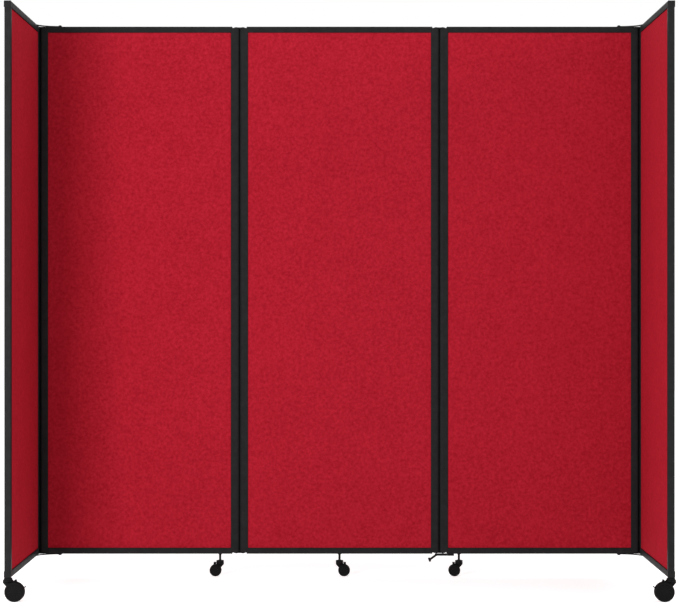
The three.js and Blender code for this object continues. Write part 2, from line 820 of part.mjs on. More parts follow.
// One of the three boards in line. stemAt is its caster; boltAt and cornerAt, its stay bolts and which
// side a wing is on, are for the outer two. Each gap between noses has one sealed nose: the middle board's
// on both sides, then the outer boards' at the corners.
function linePanel(name, centreX, { stemAt, heading, boltAt, cornerAt }) {
  const group = new THREE.Group();
  group.position.set(centreX, 0, 0);
  const to = pinSpan / 2 - stile.reach - fitGap;
  const run = { from: -to, to, boltAt, stemAt, caster: smallCaster };
  addPiece(group, `${name}_board`, fabricBoard(), 'fabric');
  addPiece(group, `${name}_top_rail`, topRail(run), 'frame');
  addPiece(group, `${name}_bottom_rail`, bottomRail(run), 'frame');
  const stileAt = (side) => {
    const shoulder = cornerAt === side ? cornerShoulder : stile.shoulder;
    return hingeStile(shoulder, !cornerAt || cornerAt === side);
  };
  addPiece(group, `${name}_stile_left`, stileAt(-1).translate(-pinSpan / 2, 0, 0), 'frame');
  const right = stileAt(1).rotateZ(Math.PI).translate(pinSpan / 2, 0, 0);
  addPiece(group, `${name}_stile_right`, right, 'frame');
  addCaster(group, name, smallCaster, stemAt, heading);
  return group;
}

// A wing, folded forward. side is -1 at the left corner and 1 at the right.
function wing(name, side) {
  const group = new THREE.Group();
  group.position.set(side * wingPinX, -pinSpan / 2, 0);
  group.rotation.z = -side * Math.PI / 2;
  const freeEnd = side * (pinSpan / 2 + stileHalf);
  const hingeEnd = -side * (pinSpan / 2 - stile.reach - fitGap);
  const stemAt = freeEnd - side * placing.largeFromEnd;
  const [from, to] = side < 0 ? [freeEnd, hingeEnd] : [hingeEnd, freeEnd];
  const run = { from, to, capAt: side, stemAt, caster: largeCaster };
  const turn = side < 0 ? 0 : Math.PI;
  addPiece(group, `${name}_board`, fabricBoard(), 'fabric');
  addPiece(group, `${name}_top_rail`, topRail(run), 'frame');
  addPiece(group, `${name}_bottom_rail`, bottomRail(run), 'frame');
  const hinged = hingeStile(cornerShoulder, false).rotateZ(Math.PI - turn).translate(-side * pinSpan / 2, 0, 0);
  const free = freeStile().rotateZ(turn).translate(side * pinSpan / 2, 0, 0);
  addPiece(group, `${name}_hinge_stile`, hinged, 'frame');
  addPiece(group, `${name}_free_stile`, free, 'frame');
  addCaster(group, name, largeCaster, stemAt, -90);
  return group;
}

function cornerPieces(name, side) {
  const group = new THREE.Group();
  group.position.set(side * (cornerPinX - stay.boltSetback), stayOffset, 0);
  const lift = stay.spacer + fitGap;
  for (const [level, low] of [
    ['top', totalHeight + lift],
    ['bottom', floorClearance - lift - stay.thickness],
  ]) {
    const geometry = cornerStay();
    if (side > 0) geometry.rotateY(Math.PI).translate(0, 0, stay.thickness);
    addPiece(group, `${name}_corner_${level}_stay`, geometry.translate(0, 0, low), 'steel');
  }
  return group;
}

function hingeLink(name, x, plateThickness, makePin) {
  const group = new THREE.Group();
  group.position.set(x, 0, 0);
  const inset = stile.shortfall - fitGap;
  const top = linkEnd(plateThickness, makePin).translate(0, 0, totalHeight - inset);
  const bottom = linkEnd(plateThickness, makePin).rotateX(Math.PI).translate(0, 0, floorClearance + inset);
  addPiece(group, `${name}_top`, top, 'steel');
  addPiece(group, `${name}_bottom`, bottom, 'steel');
  return group;
}

function middleLink(name, x) {
  return hingeLink(name, x, hinge.plateThickness, headedPin);
}

function cornerLink(name, x) {
  return hingeLink(name, x, hinge.cornerPlateThickness, flushPin);
}

function footLock() {
  const group = new THREE.Group();
  group.position.set(panelPitch / 2, 0, 0);
  addPiece(group, 'lock_bracket', lockBracket(), 'steel');
  addPiece(group, 'lock_pedal', lockPedal(), 'steel');
  return group;
}

const screen = new THREE.Group();
const inset = panelPitch / 2 - placing.smallFromHinge;
const outerBolt = pinSpan / 2 - stay.boltSetback;
screen.add(
  linePanel('centre', 0, { stemAt: 0, heading: 0 }),
  linePanel('left', -panelPitch, { stemAt: inset, heading: 180, boltAt: -outerBolt, cornerAt: -1 }),
  linePanel('right', panelPitch, { stemAt: -inset, heading: 180, boltAt: outerBolt, cornerAt: 1 }),
  wing('left_wing', -1),
  wing('right_wing', 1),
  middleLink('left_hinge_link', -panelPitch / 2),
  middleLink('right_hinge_link', panelPitch / 2),
  cornerLink('left_corner_link', -(cornerPinX + wingPinX) / 2),
  cornerLink('right_corner_link', (cornerPinX + wingPinX) / 2),
  cornerPieces('left', -1),
  cornerPieces('right', 1),
  footLock(),
);

// The origin is on the floor, under the middle of the box round the whole screen
screen.updateMatrixWorld(true);
const bounds = new THREE.Box3().setFromObject(screen, true);
const middle = bounds.getCenter(new THREE.Vector3());
screen.position.set(-middle.x, -middle.y, -bounds.min.z);

export default screen;
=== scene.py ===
import math

import bmesh
import bpy
from mathutils import Matrix, Vector


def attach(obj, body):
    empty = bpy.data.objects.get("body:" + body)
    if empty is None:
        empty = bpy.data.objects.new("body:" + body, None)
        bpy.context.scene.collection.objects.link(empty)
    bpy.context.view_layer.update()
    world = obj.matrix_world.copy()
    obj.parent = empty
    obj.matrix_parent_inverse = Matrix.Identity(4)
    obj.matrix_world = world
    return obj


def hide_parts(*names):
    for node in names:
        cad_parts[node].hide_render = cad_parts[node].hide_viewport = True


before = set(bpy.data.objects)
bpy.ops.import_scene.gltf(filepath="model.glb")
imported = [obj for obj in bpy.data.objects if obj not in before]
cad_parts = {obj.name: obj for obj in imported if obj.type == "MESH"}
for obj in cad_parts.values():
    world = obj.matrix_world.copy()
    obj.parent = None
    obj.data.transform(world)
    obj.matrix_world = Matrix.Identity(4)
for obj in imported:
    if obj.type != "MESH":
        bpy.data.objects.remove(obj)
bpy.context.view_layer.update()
print("frame loaded:", len(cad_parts), "nodes")

# Lengths are metres. The three main boards and their hinge pins stand on the line y = setBack.
layout = {
    "setBack": 0.402,
    "pitch": 0.832,
    "pinGap": 0.027,
    "top": 2.286,
    "lift": 0.094,
    "stileReach": 0.0215,
    "railTall": 0.024,
    "railHalf": 0.013,
    "smallFromHinge": 0.081,
    "largeFromEnd": 0.017,
}
span = layout["pitch"] - layout["pinGap"]
cornerPin = 1.5 * layout["pitch"] - layout["pinGap"] / 2
wingPin = cornerPin + layout["pinGap"]
frameTall = layout["top"] - layout["lift"]
fitGap = 0.0003  # play between parts that slide or turn in each other


def linked(mesh, name):
    piece = bpy.data.objects.new(name, mesh)
    bpy.context.collection.objects.link(piece)
    return piece


def arc(x, y, radius, start, stop, steps=8):
    angles = [math.radians(start + (stop - start) * i / steps) for i in range(steps + 1)]
    return [(x + radius * math.cos(a), y + radius * math.sin(a)) for a in angles]


def circle(x, y, radius, steps=40):
    return arc(x, y, radius, 0, 360 - 360 / steps, steps - 1)


def softBox(left, low, right, high, radius, steps=4):
    return (
        arc(right - radius, low + radius, radius, -90, 0, steps)
        + arc(right - radius, high - radius, radius, 0, 90, steps)
        + arc(left + radius, high - radius, radius, 90, 180, steps)
        + arc(left + radius, low + radius, radius, 180, 270, steps)
    )


def cleaned(mesh, merge=2e-6):
    work = bmesh.new()
    work.from_mesh(mesh)
    bmesh.ops.remove_doubles(work, verts=work.verts, dist=merge)
    bmesh.ops.dissolve_degenerate(work, edges=work.edges, dist=merge)
    bmesh.ops.recalc_face_normals(work, faces=work.faces)
    work.to_mesh(mesh)
    work.free()
    return mesh


# An outline and its holes pushed up from low to high, with the edges rounded where edge is given
def extruded(rings, low, high, edge=0.0):
    outline = bpy.data.curves.new("outline", "CURVE")
    outline.dimensions = "2D"
    outline.fill_mode = "BOTH"
    outline.extrude = (high - low) / 2 - edge
    outline.bevel_depth = edge
    outline.offset = -edge
    outline.bevel_resolution = 2
    for ring in rings:
        spline = outline.splines.new("POLY")
        spline.points.add(len(ring) - 1)
        for point, (x, y) in zip(spline.points, ring):
            point.co = (x, y, 0, 1)
        spline.use_cyclic_u = True
    holder = linked(outline, "outline")
    view = bpy.context.evaluated_depsgraph_get()
    mesh = bpy.data.meshes.new_from_object(holder.evaluated_get(view))
    bpy.data.objects.remove(holder)
    bpy.data.curves.remove(outline)
    mesh.transform(Matrix.Translation((0, 0, (low + high) / 2)))
    mesh.materials.clear()
    return cleaned(mesh)


# A profile of radius and height turned round Z; it starts and ends on the axis or closes on itself
def turned(profile, sides=56):
    nearAxis = 1e-9
    onAxis = profile[0][0] < nearAxis and profile[-1][0] < nearAxis
    ringPoints = profile if onAxis else profile + profile[:1]
    work = bmesh.new()
    rings = []
    for radius, height in ringPoints:
        if radius < nearAxis:
            rings.append([work.verts.new((0, 0, height))])
        else:
            rings.append([work.verts.new((x, y, height)) for x, y in circle(0, 0, radius, sides)])
    for lower, upper in zip(rings, rings[1:]):
        for i in range(sides):
            j = (i + 1) % sides
            around = ((lower, i), (lower, j), (upper, j), (upper, i))
            corners = list(dict.fromkeys(ring[k % len(ring)] for ring, k in around))
            if len(corners) > 2:
                work.faces.new(corners)
    mesh = bpy.data.meshes.new("turned")
    work.to_mesh(mesh)
    work.free()
    return cleaned(mesh)


# A mesh with others cut out of it
def trimmed(mesh, *cutters):
    body = linked(mesh, "body")
    helpers = [body]
    for cutter in cutters:
        helpers.append(linked(cutter, "cutter"))
        trim = body.modifiers.new("trim", "BOOLEAN")
        trim.object = helpers[-1]
        trim.solver = "EXACT"
    view = bpy.context.evaluated_depsgraph_get()
    result = bpy.data.meshes.new_from_object(body.evaluated_get(view))
    for helper in helpers:
        bpy.data.objects.remove(helper)
    return cleaned(result)


def moved(mesh, x=0.0, y=0.0, z=0.0, turnZ=0.0, turnX=0.0, turnY=0.0):
    turn = (
        Matrix.Rotation(math.radians(turnZ), 4, "Z")
        @ Matrix.Rotation(math.radians(turnY), 4, "Y")
        @ Matrix.Rotation(math.radians(turnX), 4, "X")
    )
    mesh.transform(Matrix.Translation((x, y, z)) @ turn)
    return mesh


# A side outline in X and height, centred on Y zero
def acrossY(rings, width, edge=0.0):
    return moved(extruded(rings, -width / 2, width / 2, edge), turnX=90)


# A section in Y and height, run along X
def alongX(rings, low, high, edge=0.0):
    mesh = extruded(rings, low, high, edge)
    mesh.transform(Matrix(((0, 0, 1, 0), (1, 0, 0, 0), (0, 1, 0, 0), (0, 0, 0, 1))))
    return mesh


def together(*meshes):
    work = bmesh.new()
    for mesh in meshes:
        work.from_mesh(mesh)
        bpy.data.meshes.remove(mesh)
    whole = bpy.data.meshes.new("whole")
    work.to_mesh(whole)
    work.free()
    return whole


def smoothed(mesh, angle=32):
    mesh.shade_smooth()
    mesh.set_sharp_from_angle(angle=math.radians(angle))
    return mesh


# left_wing and freeStile become leftWingFreeStile
def camel(*words):
    first, *rest = "_".join(words).split("_")
    return first + "".join(word[0].upper() + word[1:] for word in rest)


# Where a board stands: its middle, and how far it is turned about Z
def boardPlace(name):
    if name == "centre":
        return 0.0, layout["setBack"], 0
    side = -1 if "left" in name else 1
    if "wing" in name:
        return side * wingPin, layout["setBack"] - span / 2, -90 * side
    return side * layout["pitch"], layout["setBack"], 0


boards = ["centre", "left", "right", "left_wing", "right_wing"]
materials = {}


def finishPiece(mesh, name, node, body, material, angle=32):
    piece = linked(smoothed(mesh, angle), name)
    mesh.materials.clear()
    mesh.materials.append(materials[material])
    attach(piece, body)
    if node:
        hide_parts(node)
    return piece


# How far the camera stands from the main boards' front face, and how high above the floor
camera = {"distance": 9.306, "height": 1.141, "lens": 118.65, "sensor": 36, "clip": (0.1, 200)}


def setCamera():
    data = bpy.data.cameras.new("photoCamera")
    data.lens = camera["lens"]
    data.sensor_width = camera["sensor"]
    data.clip_start, data.clip_end = camera["clip"]
    view = linked(data, "photoCamera")
    frontFace = layout["setBack"] - layout["railHalf"]
    view.location = (0, frontFace - camera["distance"], camera["height"])
    view.rotation_euler = (math.radians(90), 0, 0)
    bpy.context.scene.camera = view


setCamera()
print("camera set")


# The felt's mix gives, for each of its patterns, the span that is used and its share of the colour
finishes = {
    "felt": {
        "slot": "fabric", "pale": (0.50, 0.0185, 0.037), "deep": (0.27, 0.0055, 0.0130),
        "fibre": 1500, "alongFibre": 0.22, "fleck": 82, "fleckRough": 0.72, "cloud": 9,
        "mix": {"fleck": (0.36, 0.64, 0.64), "fibre": (0.4, 0.72, 0.28), "cloud": (0.3, 0.7, 0.08)},
        "rough": 0.95, "gloss": 0.03, "sheen": 0.03, "sheenRough": 0.6, "sheenTint": (0.9, 0.12, 0.14, 1),
        "relief": 0.4, "reliefDeep": 0.0006,
    },
    "frameBlack": {
        "slot": "frame", "colour": (0.0178, 0.0178, 0.0186), "rough": 0.45, "gloss": 0.012, "grain": 2600,
    },
    "steelBlack": {
        "slot": "steel", "colour": (0.0125, 0.0125, 0.0130), "rough": 0.38, "gloss": 0.015, "grain": 3400,
    },
    "casterBlack": {
        "slot": "caster", "colour": (0.0040, 0.0040, 0.0043), "rough": 0.46, "gloss": 0.07, "grain": 1800,
    },
    "tyreBlack": {
        "slot": "wheel", "colour": (0.0045, 0.0045, 0.0046), "rough": 0.62, "gloss": 0.07, "grain": 1200,
    },
    "hubBlack": {
        "slot": "wheel", "colour": (0.0055, 0.0055, 0.006), "rough": 0.4, "gloss": 0.09, "grain": 2200,
    },
    # Black rubber for the hinge seal strips; on the beads round the boards it is painted shade
    "sealBlack": {
        "slot": "frame", "colour": (0.004, 0.004, 0.0043), "rough": 0.85, "gloss": 0.04, "grain": 900,
    },
    "boltSteel": {
        "slot": "steel", "colour": (0.012, 0.012, 0.0125), "rough": 0.34, "gloss": 0.12, "grain": 4000,
    },
}
# What all the black finishes share: a cloud in colour and gloss, and how deep the grain is
coat = {"cloud": 38, "lighter": 1.22, "smoother": 0.05, "rougher": 0.06, "relief": 0.16, "reliefDeep": 0.0002}


def newMaterial(name):
    material = bpy.data.materials.new(name)
    material.use_nodes = True
    nodes, links = material.node_tree.nodes, material.node_tree.links
    return material, nodes, links, nodes["Principled BSDF"]


def noise(nodes, links, scale, detail=3.0, stretch=None):
    place = nodes.new("ShaderNodeTexCoord")
    grain = nodes.new("ShaderNodeTexNoise")
    grain.inputs["Scale"].default_value = scale
    grain.inputs["Detail"].default_value = detail
    if stretch:
        mapping = nodes.new("ShaderNodeMapping")
        mapping.inputs["Scale"].default_value = stretch
        links.new(place.outputs["Object"], mapping.inputs["Vector"])
        links.new(mapping.outputs["Vector"], grain.inputs["Vector"])
    else:
        links.new(place.outputs["Object"], grain.inputs["Vector"])
    return grain


def mixColour(nodes, links, factor, first, second):
    mix = nodes.new("ShaderNodeMix")
    mix.data_type = "RGBA"
    mix.inputs["A"].default_value = (*first, 1)
    mix.inputs["B"].default_value = (*second, 1)
    links.new(factor, mix.inputs["Factor"])
    return mix.outputs["Result"]


def ranged(nodes, links, value, low, high, toLow, toHigh):
    spread = nodes.new("ShaderNodeMapRange")
    for socket, number in zip(("From Min", "From Max", "To Min", "To Max"), (low, high, toLow, toHigh)):
        spread.inputs[socket].default_value = number
    links.new(value, spread.inputs["Value"])
    return spread.outputs["Result"]


def bump(nodes, links, shader, height, strength, distance):
    relief = nodes.new("ShaderNodeBump")
    relief.inputs["Strength"].default_value = strength
    relief.inputs["Distance"].default_value = distance
    links.new(height, relief.inputs["Height"])
    links.new(relief.outputs["Normal"], shader.inputs["Normal"])


# Needled felt: matted fibres two ways, flecks where they gather, and a faint cloud in the dye
def makeFelt():
    values = finishes["felt"]
    material, nodes, links, shader = newMaterial("felt")
    cloud = noise(nodes, links, values["cloud"], 2)
    fleck = noise(nodes, links, values["fleck"], 9)
    fleck.inputs["Roughness"].default_value = values["fleckRough"]
    along = values["alongFibre"]
    upward = noise(nodes, links, values["fibre"], 3, (1, 1, along))
    across = noise(nodes, links, values["fibre"], 3, (along, along, 1))
    matted = nodes.new("ShaderNodeMath")
    matted.operation = "MAXIMUM"
    links.new(upward.outputs["Fac"], matted.inputs[0])
    links.new(across.outputs["Fac"], matted.inputs[1])
    fields = {"fleck": fleck.outputs["Fac"], "fibre": matted.outputs["Value"], "cloud": cloud.outputs["Fac"]}
    total = None
    for word, (low, high, share) in values["mix"].items():
        part = ranged(nodes, links, fields[word], low, high, 0, share)
        if total is None:
            total = part
            continue
        adder = nodes.new("ShaderNodeMath")
        adder.operation = "ADD"
        links.new(total, adder.inputs[0])
        links.new(part, adder.inputs[1])
        total = adder.outputs["Value"]
    links.new(mixColour(nodes, links, total, values["deep"], values["pale"]), shader.inputs["Base Color"])
    shader.inputs["Roughness"].default_value = values["rough"]
    shader.inputs["Specular IOR Level"].default_value = values["gloss"]
    shader.inputs["Sheen Weight"].default_value = values["sheen"]
    shader.inputs["Sheen Roughness"].default_value = values["sheenRough"]
    shader.inputs["Sheen Tint"].default_value = values["sheenTint"]
    bump(nodes, links, shader, total, values["relief"], values["reliefDeep"])
    return material


# Powder coat, moulded plastic and rubber: a fine grain in the surface and a slight cloud in its gloss
def makeCoat(name):
    values = finishes[name]
    material, nodes, links, shader = newMaterial(name)
    cloud = noise(nodes, links, coat["cloud"], 3)
    grain = noise(nodes, links, values["grain"], 2)
    lighter = tuple(min(1.0, c * coat["lighter"]) for c in values["colour"])
    factor = ranged(nodes, links, cloud.outputs["Fac"], 0.35, 0.65, 0, 1)
    links.new(mixColour(nodes, links, factor, values["colour"], lighter), shader.inputs["Base Color"])
    low, high = values["rough"] - coat["smoother"], values["rough"] + coat["rougher"]
    links.new(ranged(nodes, links, cloud.outputs["Fac"], 0.3, 0.7, low, high), shader.inputs["Roughness"])
    shader.inputs["Specular IOR Level"].default_value = values["gloss"]
    bump(nodes, links, shader, grain.outputs["Fac"], coat["relief"], coat["reliefDeep"])
    return material


materials["felt"] = makeFelt()
for name in finishes:
    if name != "felt":
        materials[name] = makeCoat(name)
print("materials made:", len(materials))


# Node trees that grow what repeats. A tree's inputs are named sizes, whole numbers for counts.
def newTree(name, inputs, material):
    tree = bpy.data.node_groups.new(name, "GeometryNodeTree")
    for key in inputs:
        kind = "NodeSocketInt" if key == "Count" else "NodeSocketFloat"
        tree.interface.new_socket(name=key, in_out="INPUT", socket_type=kind)
    tree.interface.new_socket(name="Geometry", in_out="OUTPUT", socket_type="NodeSocketGeometry")
    given = tree.nodes.new("NodeGroupInput")
    plain = tree.nodes.new("GeometryNodeRealizeInstances")
    dressed = tree.nodes.new("GeometryNodeSetMaterial")
    dressed.inputs["Material"].default_value = materials[material]
    made = tree.nodes.new("NodeGroupOutput")
    tree.links.new(plain.outputs["Geometry"], dressed.inputs["Geometry"])
    tree.links.new(dressed.outputs["Geometry"], made.inputs["Geometry"])
    return tree, given.outputs, plain.inputs["Geometry"]


def mathNode(tree, operation, first, second):
    node = tree.nodes.new("ShaderNodeMath")
    node.operation = operation
    for socket, value in zip(node.inputs, (first, second)):
        if isinstance(value, (int, float)):
            socket.default_value = value
        else:
            tree.links.new(value, socket)
    return node.outputs["Value"]


def vectorNode(tree, **parts):
    node = tree.nodes.new("ShaderNodeCombineXYZ")
    for axis, value in parts.items():
        tree.links.new(value, node.inputs[axis])
    return node.outputs["Vector"]


# Ribs that stand like spokes round Z
def spokeTree():
    tree, given, result = newTree("spokes", ["Count", "Inner", "Outer", "Thick", "Tall"], "hubBlack")
    middle = mathNode(tree, "MULTIPLY", mathNode(tree, "ADD", given["Inner"], given["Outer"]), 0.5)
    ring = tree.nodes.new("GeometryNodeMeshCircle")
    tree.links.new(given["Count"], ring.inputs["Vertices"])
    tree.links.new(middle, ring.inputs["Radius"])
    rib = tree.nodes.new("GeometryNodeMeshCube")
    long = mathNode(tree, "SUBTRACT", given["Outer"], given["Inner"])
    tree.links.new(vectorNode(tree, X=long, Y=given["Thick"], Z=given["Tall"]), rib.inputs["Size"])
    index = tree.nodes.new("GeometryNodeInputIndex")
    step = mathNode(tree, "DIVIDE", 2 * math.pi, given["Count"])
    turn = tree.nodes.new("FunctionNodeEulerToRotation")
    angle = mathNode(tree, "MULTIPLY", index.outputs["Index"], step)
    tree.links.new(vectorNode(tree, Z=angle), turn.inputs["Euler"])
    place = tree.nodes.new("GeometryNodeInstanceOnPoints")
    tree.links.new(ring.outputs["Mesh"], place.inputs["Points"])
    tree.links.new(rib.outputs["Mesh"], place.inputs["Instance"])
    tree.links.new(turn.outputs["Rotation"], place.inputs["Rotation"])
    tree.links.new(place.outputs["Instances"], result)
    return tree


# A round bead that follows a rectangle with rounded corners, in the black seal finish: painted shade along
# the frame's lips
def beadTree():
    tree, given, result = newTree("bead", ["Wide", "Tall", "Corner", "Bead"], "sealBlack")
    path = tree.nodes.new("GeometryNodeCurvePrimitiveQuadrilateral")
    tree.links.new(given["Wide"], path.inputs["Width"])
    tree.links.new(given["Tall"], path.inputs["Height"])
    corner = tree.nodes.new("GeometryNodeFilletCurve")
    corner.mode = "POLY"
    corner.inputs["Count"].default_value = 4
    tree.links.new(path.outputs["Curve"], corner.inputs["Curve"])
    tree.links.new(given["Corner"], corner.inputs["Radius"])
    section = tree.nodes.new("GeometryNodeCurvePrimitiveCircle")
    section.inputs["Resolution"].default_value = 10
    tree.links.new(given["Bead"], section.inputs["Radius"])
    sweep = tree.nodes.new("GeometryNodeCurveToMesh")
    tree.links.new(corner.outputs["Curve"], sweep.inputs["Curve"])
    tree.links.new(section.outputs["Curve"], sweep.inputs["Profile Curve"])
    tree.links.new(sweep.outputs["Mesh"], result)
    return tree


# Grip ribs in a row along X, each a bar across Y
def gripTree():
    tree, given, result = newTree("grip", ["Count", "Pitch", "Thick", "Wide", "Tall"], "casterBlack")
    row = tree.nodes.new("GeometryNodeMeshLine")
    tree.links.new(given["Count"], row.inputs["Count"])
    tree.links.new(vectorNode(tree, X=given["Pitch"]), row.inputs["Offset"])
    bar = tree.nodes.new("GeometryNodeMeshCube")
    tree.links.new(vectorNode(tree, X=given["Thick"], Y=given["Wide"], Z=given["Tall"]), bar.inputs["Size"])
    place = tree.nodes.new("GeometryNodeInstanceOnPoints")
    tree.links.new(row.outputs["Mesh"], place.inputs["Points"])
    tree.links.new(bar.outputs["Mesh"], place.inputs["Instance"])
    tree.links.new(place.outputs["Instances"], result)
    return tree


# What a tree grows on an empty object, kept as a plain mesh
def grown(tree, sizes):
    host = linked(bpy.data.meshes.new("host"), "host")
    grower = host.modifiers.new("grower", "NODES")
    grower.node_group = tree
    for item in tree.interface.items_tree:
        if item.in_out == "INPUT":
            grower[item.identifier] = sizes[item.name]
    view = bpy.context.evaluated_depsgraph_get()
    mesh = bpy.data.meshes.new_from_object(host.evaluated_get(view))
    bpy.data.objects.remove(host)
    return mesh


spokes, bead, grip = spokeTree(), beadTree(), gripTree()


# Felt boards: flat faces that dip where the frame's lips press on the felt
felt = {
    "thick": 0.0186,
    "seat": 0.010,
    "seatStep": 0.6,
    "pinch": 0.0005,
    "pinchRun": 0.009,
    "pinchSteps": (0, 0.15, 0.35, 0.6, 0.8),
    "edge": 0.0022,
    "cellsAcross": 6,
    "cellsUpward": 14,
    "bead": 0.0007,
    "beadCorner": 0.003,
    "beadSink": 0.6,
    "crease": 60,
}


# Places along a side: the near ones from both ends, and even steps between the far ones
def spread(low, high, near, far, steps):
    inner = [low + far + (high - low - 2 * far) * i / steps for i in range(steps + 1)]
    return [low + d for d in near] + inner + [high - d for d in reversed(near)]


# Two faces on a grid that is finer near the rim, then three bands that close the rim
def feltBoard():
    halfWide = span / 2 - layout["stileReach"] + felt["seat"] - fitGap
    low = layout["lift"] + layout["railTall"] - felt["seat"] + fitGap
    high = layout["top"] - layout["railTall"] + felt["seat"] - fitGap
    lip, run, edge, half = felt["seat"] - fitGap, felt["pinchRun"], felt["edge"], felt["thick"] / 2
    near = [edge, lip * felt["seatStep"]] + [lip + run * part for part in felt["pinchSteps"]]
    across = spread(-halfWide, halfWide, near, lip + run, felt["cellsAcross"])
    upward = spread(low, high, near, lip + run, felt["cellsUpward"])

    def lift(x, z):
        inside = min(x + halfWide, halfWide - x, z - low, high - z) - lip
        ease = min(1, max(0, inside / run))
        return half - felt["pinch"] * (1 - ease * ease * (3 - 2 * ease))

    def pushedOut(value, least, most):
        if value < least + 1.5 * edge:
            return least
        return most if value > most - 1.5 * edge else value

    work = bmesh.new()
    faces = []
    for side in (-1, 1):
        faces.append([[work.verts.new((x, side * lift(x, z), z)) for x in across] for z in upward])
    rims = []
    for sheet in faces:
        for lower, upper in zip(sheet, sheet[1:]):
            for i in range(len(across) - 1):
                work.faces.new((lower[i], lower[i + 1], upper[i + 1], upper[i]))
        right, left = [row[-1] for row in sheet[1:]], [row[0] for row in sheet[-2:0:-1]]
        rims.append(sheet[0] + right + sheet[-1][-2::-1] + left)
    flat = half - edge - felt["pinch"]
    middle = []
    for vert in rims[0]:
        x, z = pushedOut(vert.co.x, -halfWide, halfWide), pushedOut(vert.co.z, low, high)
        middle.append([work.verts.new((x, way * flat, z)) for way in (-1, 1)])
    for i, here in enumerate(middle):
        j = (i + 1) % len(middle)
        there = middle[j]
        work.faces.new((rims[0][i], rims[0][j], there[0], here[0]))
        work.faces.new((here[0], there[0], there[1], here[1]))
        work.faces.new((here[1], there[1], rims[1][j], rims[1][i]))
    mesh = bpy.data.meshes.new("feltBoard")
    work.to_mesh(mesh)
    work.free()
    return cleaned(mesh)


# A dark bead lies in the corner between the frame's lips and the felt, on both faces: painted shade for the
# shadow line along the lips
def gasket():
    inset = felt["bead"] * felt["beadSink"]
    wide = span - 2 * layout["stileReach"] - inset
    tall = frameTall - 2 * layout["railTall"] - inset
    faces = []
    for side in (-1, 1):
        run = grown(bead, {"Wide": wide, "Tall": tall, "Corner": felt["beadCorner"], "Bead": felt["bead"]})
        faces.append(moved(run, 0, side * felt["thick"] / 2, layout["lift"] + frameTall / 2, turnX=90))
    return cleaned(together(*faces), merge=1e-7)


for name in boards:
    x, y, turn = boardPlace(name)
    board = moved(feltBoard(), x, y, turnZ=turn)
    finishPiece(board, camel(name, "feltBoard"), f"{name}_board", name, "felt", felt["crease"])
    # The dark beads are painted shade: the shadow line where the frame's lips meet the felt
    shadeBeads = moved(gasket(), x, y, turnZ=turn)
    finishPiece(shadeBeads, camel(name, "gasket"), None, name, "sealBlack", felt["crease"])
print("felt boards made")


# Frames: hollow stiles with a pin tube in their round nose, hollow rails, and capped rail ends on the wings
stile = {
    "half": 0.012,
    "reach": layout["stileReach"],
    "short": 0.005,
    "shoulder": 0.0165,
    "wall": 0.0022,
    "bore": 0.0033,
    "boss": 0.0057,
    "sealTip": 0.01498,
    "sealThick": 0.0022,
    "sealRoot": 0.0003,
    "sealCorner": 0.000132,
}
rail = {
    "half": layout["railHalf"],
    "tall": layout["railTall"],
    "wall": 0.0022,
    "edge": 0.0014,
    "innerEdge": 0.0005,
}
cap = {"thick": 0.0025, "lip": 0.001, "chamfer": 0.003, "edge": 0.0005}
grooveHalf = felt["thick"] / 2 + fitGap
lipEdge = 0.0004


# The side of a section that the board sits in: two rounded lips and the groove between them
def grooveSide(reach, half):
    floor = reach - felt["seat"]
    return (
        arc(reach - lipEdge * 2, -half + lipEdge * 2, lipEdge * 2, -90, 0, 3)
        + arc(reach - lipEdge, -grooveHalf - lipEdge, lipEdge, 0, 90, 2)
        + [(floor, -grooveHalf), (floor, grooveHalf)]
        + arc(reach - lipEdge, grooveHalf + lipEdge, lipEdge, -90, 0, 2)
        + arc(reach - lipEdge * 2, half - lipEdge * 2, lipEdge * 2, 0, 90, 3)
    )


def hingeStileRings():
    half, wall, boss = stile["half"], stile["wall"], stile["boss"]
    back = stile["reach"] - felt["seat"] - wall
    outer = half - wall
    web = wall / 2
    outside = arc(0, 0, half, 90, 270, 36)[:-1] + [(0, -half)] + grooveSide(stile["reach"], half)
    rings = [outside, circle(0, 0, stile["bore"], 32)]
    lean = math.degrees(math.asin(web / outer))
    bossLean = math.degrees(math.asin(web / boss))
    chamber = (
        arc(0, 0, outer, 90, 180 - lean, 14)
        + arc(0, 0, boss, 180 - bossLean, bossLean, 14)
        + [(back, web), (back, outer)]
    )
    rings.append(chamber)
    rings.append([(x, -y) for x, y in reversed(chamber)])
    return rings


def freeStileRings():
    half, edge = stile["half"], rail["edge"]
    inner, floor = half - stile["wall"], stile["reach"] - felt["seat"] - stile["wall"]
    outside = (
        arc(-half + edge, half - edge, edge, 90, 180, 5)
        + arc(-half + edge, -half + edge, edge, 180, 270, 5)
        + grooveSide(stile["reach"], half)
    )
    return [outside, softBox(-inner, -inner, floor, inner, rail["innerEdge"], 2)]


def railRings():
    half, tall, edge, wall = rail["half"], rail["tall"], rail["edge"], rail["wall"]
    inner, floor = half - wall, tall - felt["seat"] - wall
    outside = arc(-half + edge, edge, edge, 180, 270, 5) + arc(half - edge, edge, edge, 270, 360, 5)
    outside += [(-y, x) for x, y in grooveSide(tall, half)]
    return [outside, softBox(-inner, wall, inner, floor, rail["innerEdge"], 2)]


def capRings():
    lip, chamfer = cap["lip"], cap["chamfer"]
    half, low = rail["half"] + lip, chamfer - lip
    outline = arc(-half + chamfer, low, chamfer, 180, 270, 5) + arc(half - chamfer, low, chamfer, 270, 360, 5)
    return [outline + [(half, rail["tall"]), (-half, rail["tall"])]]


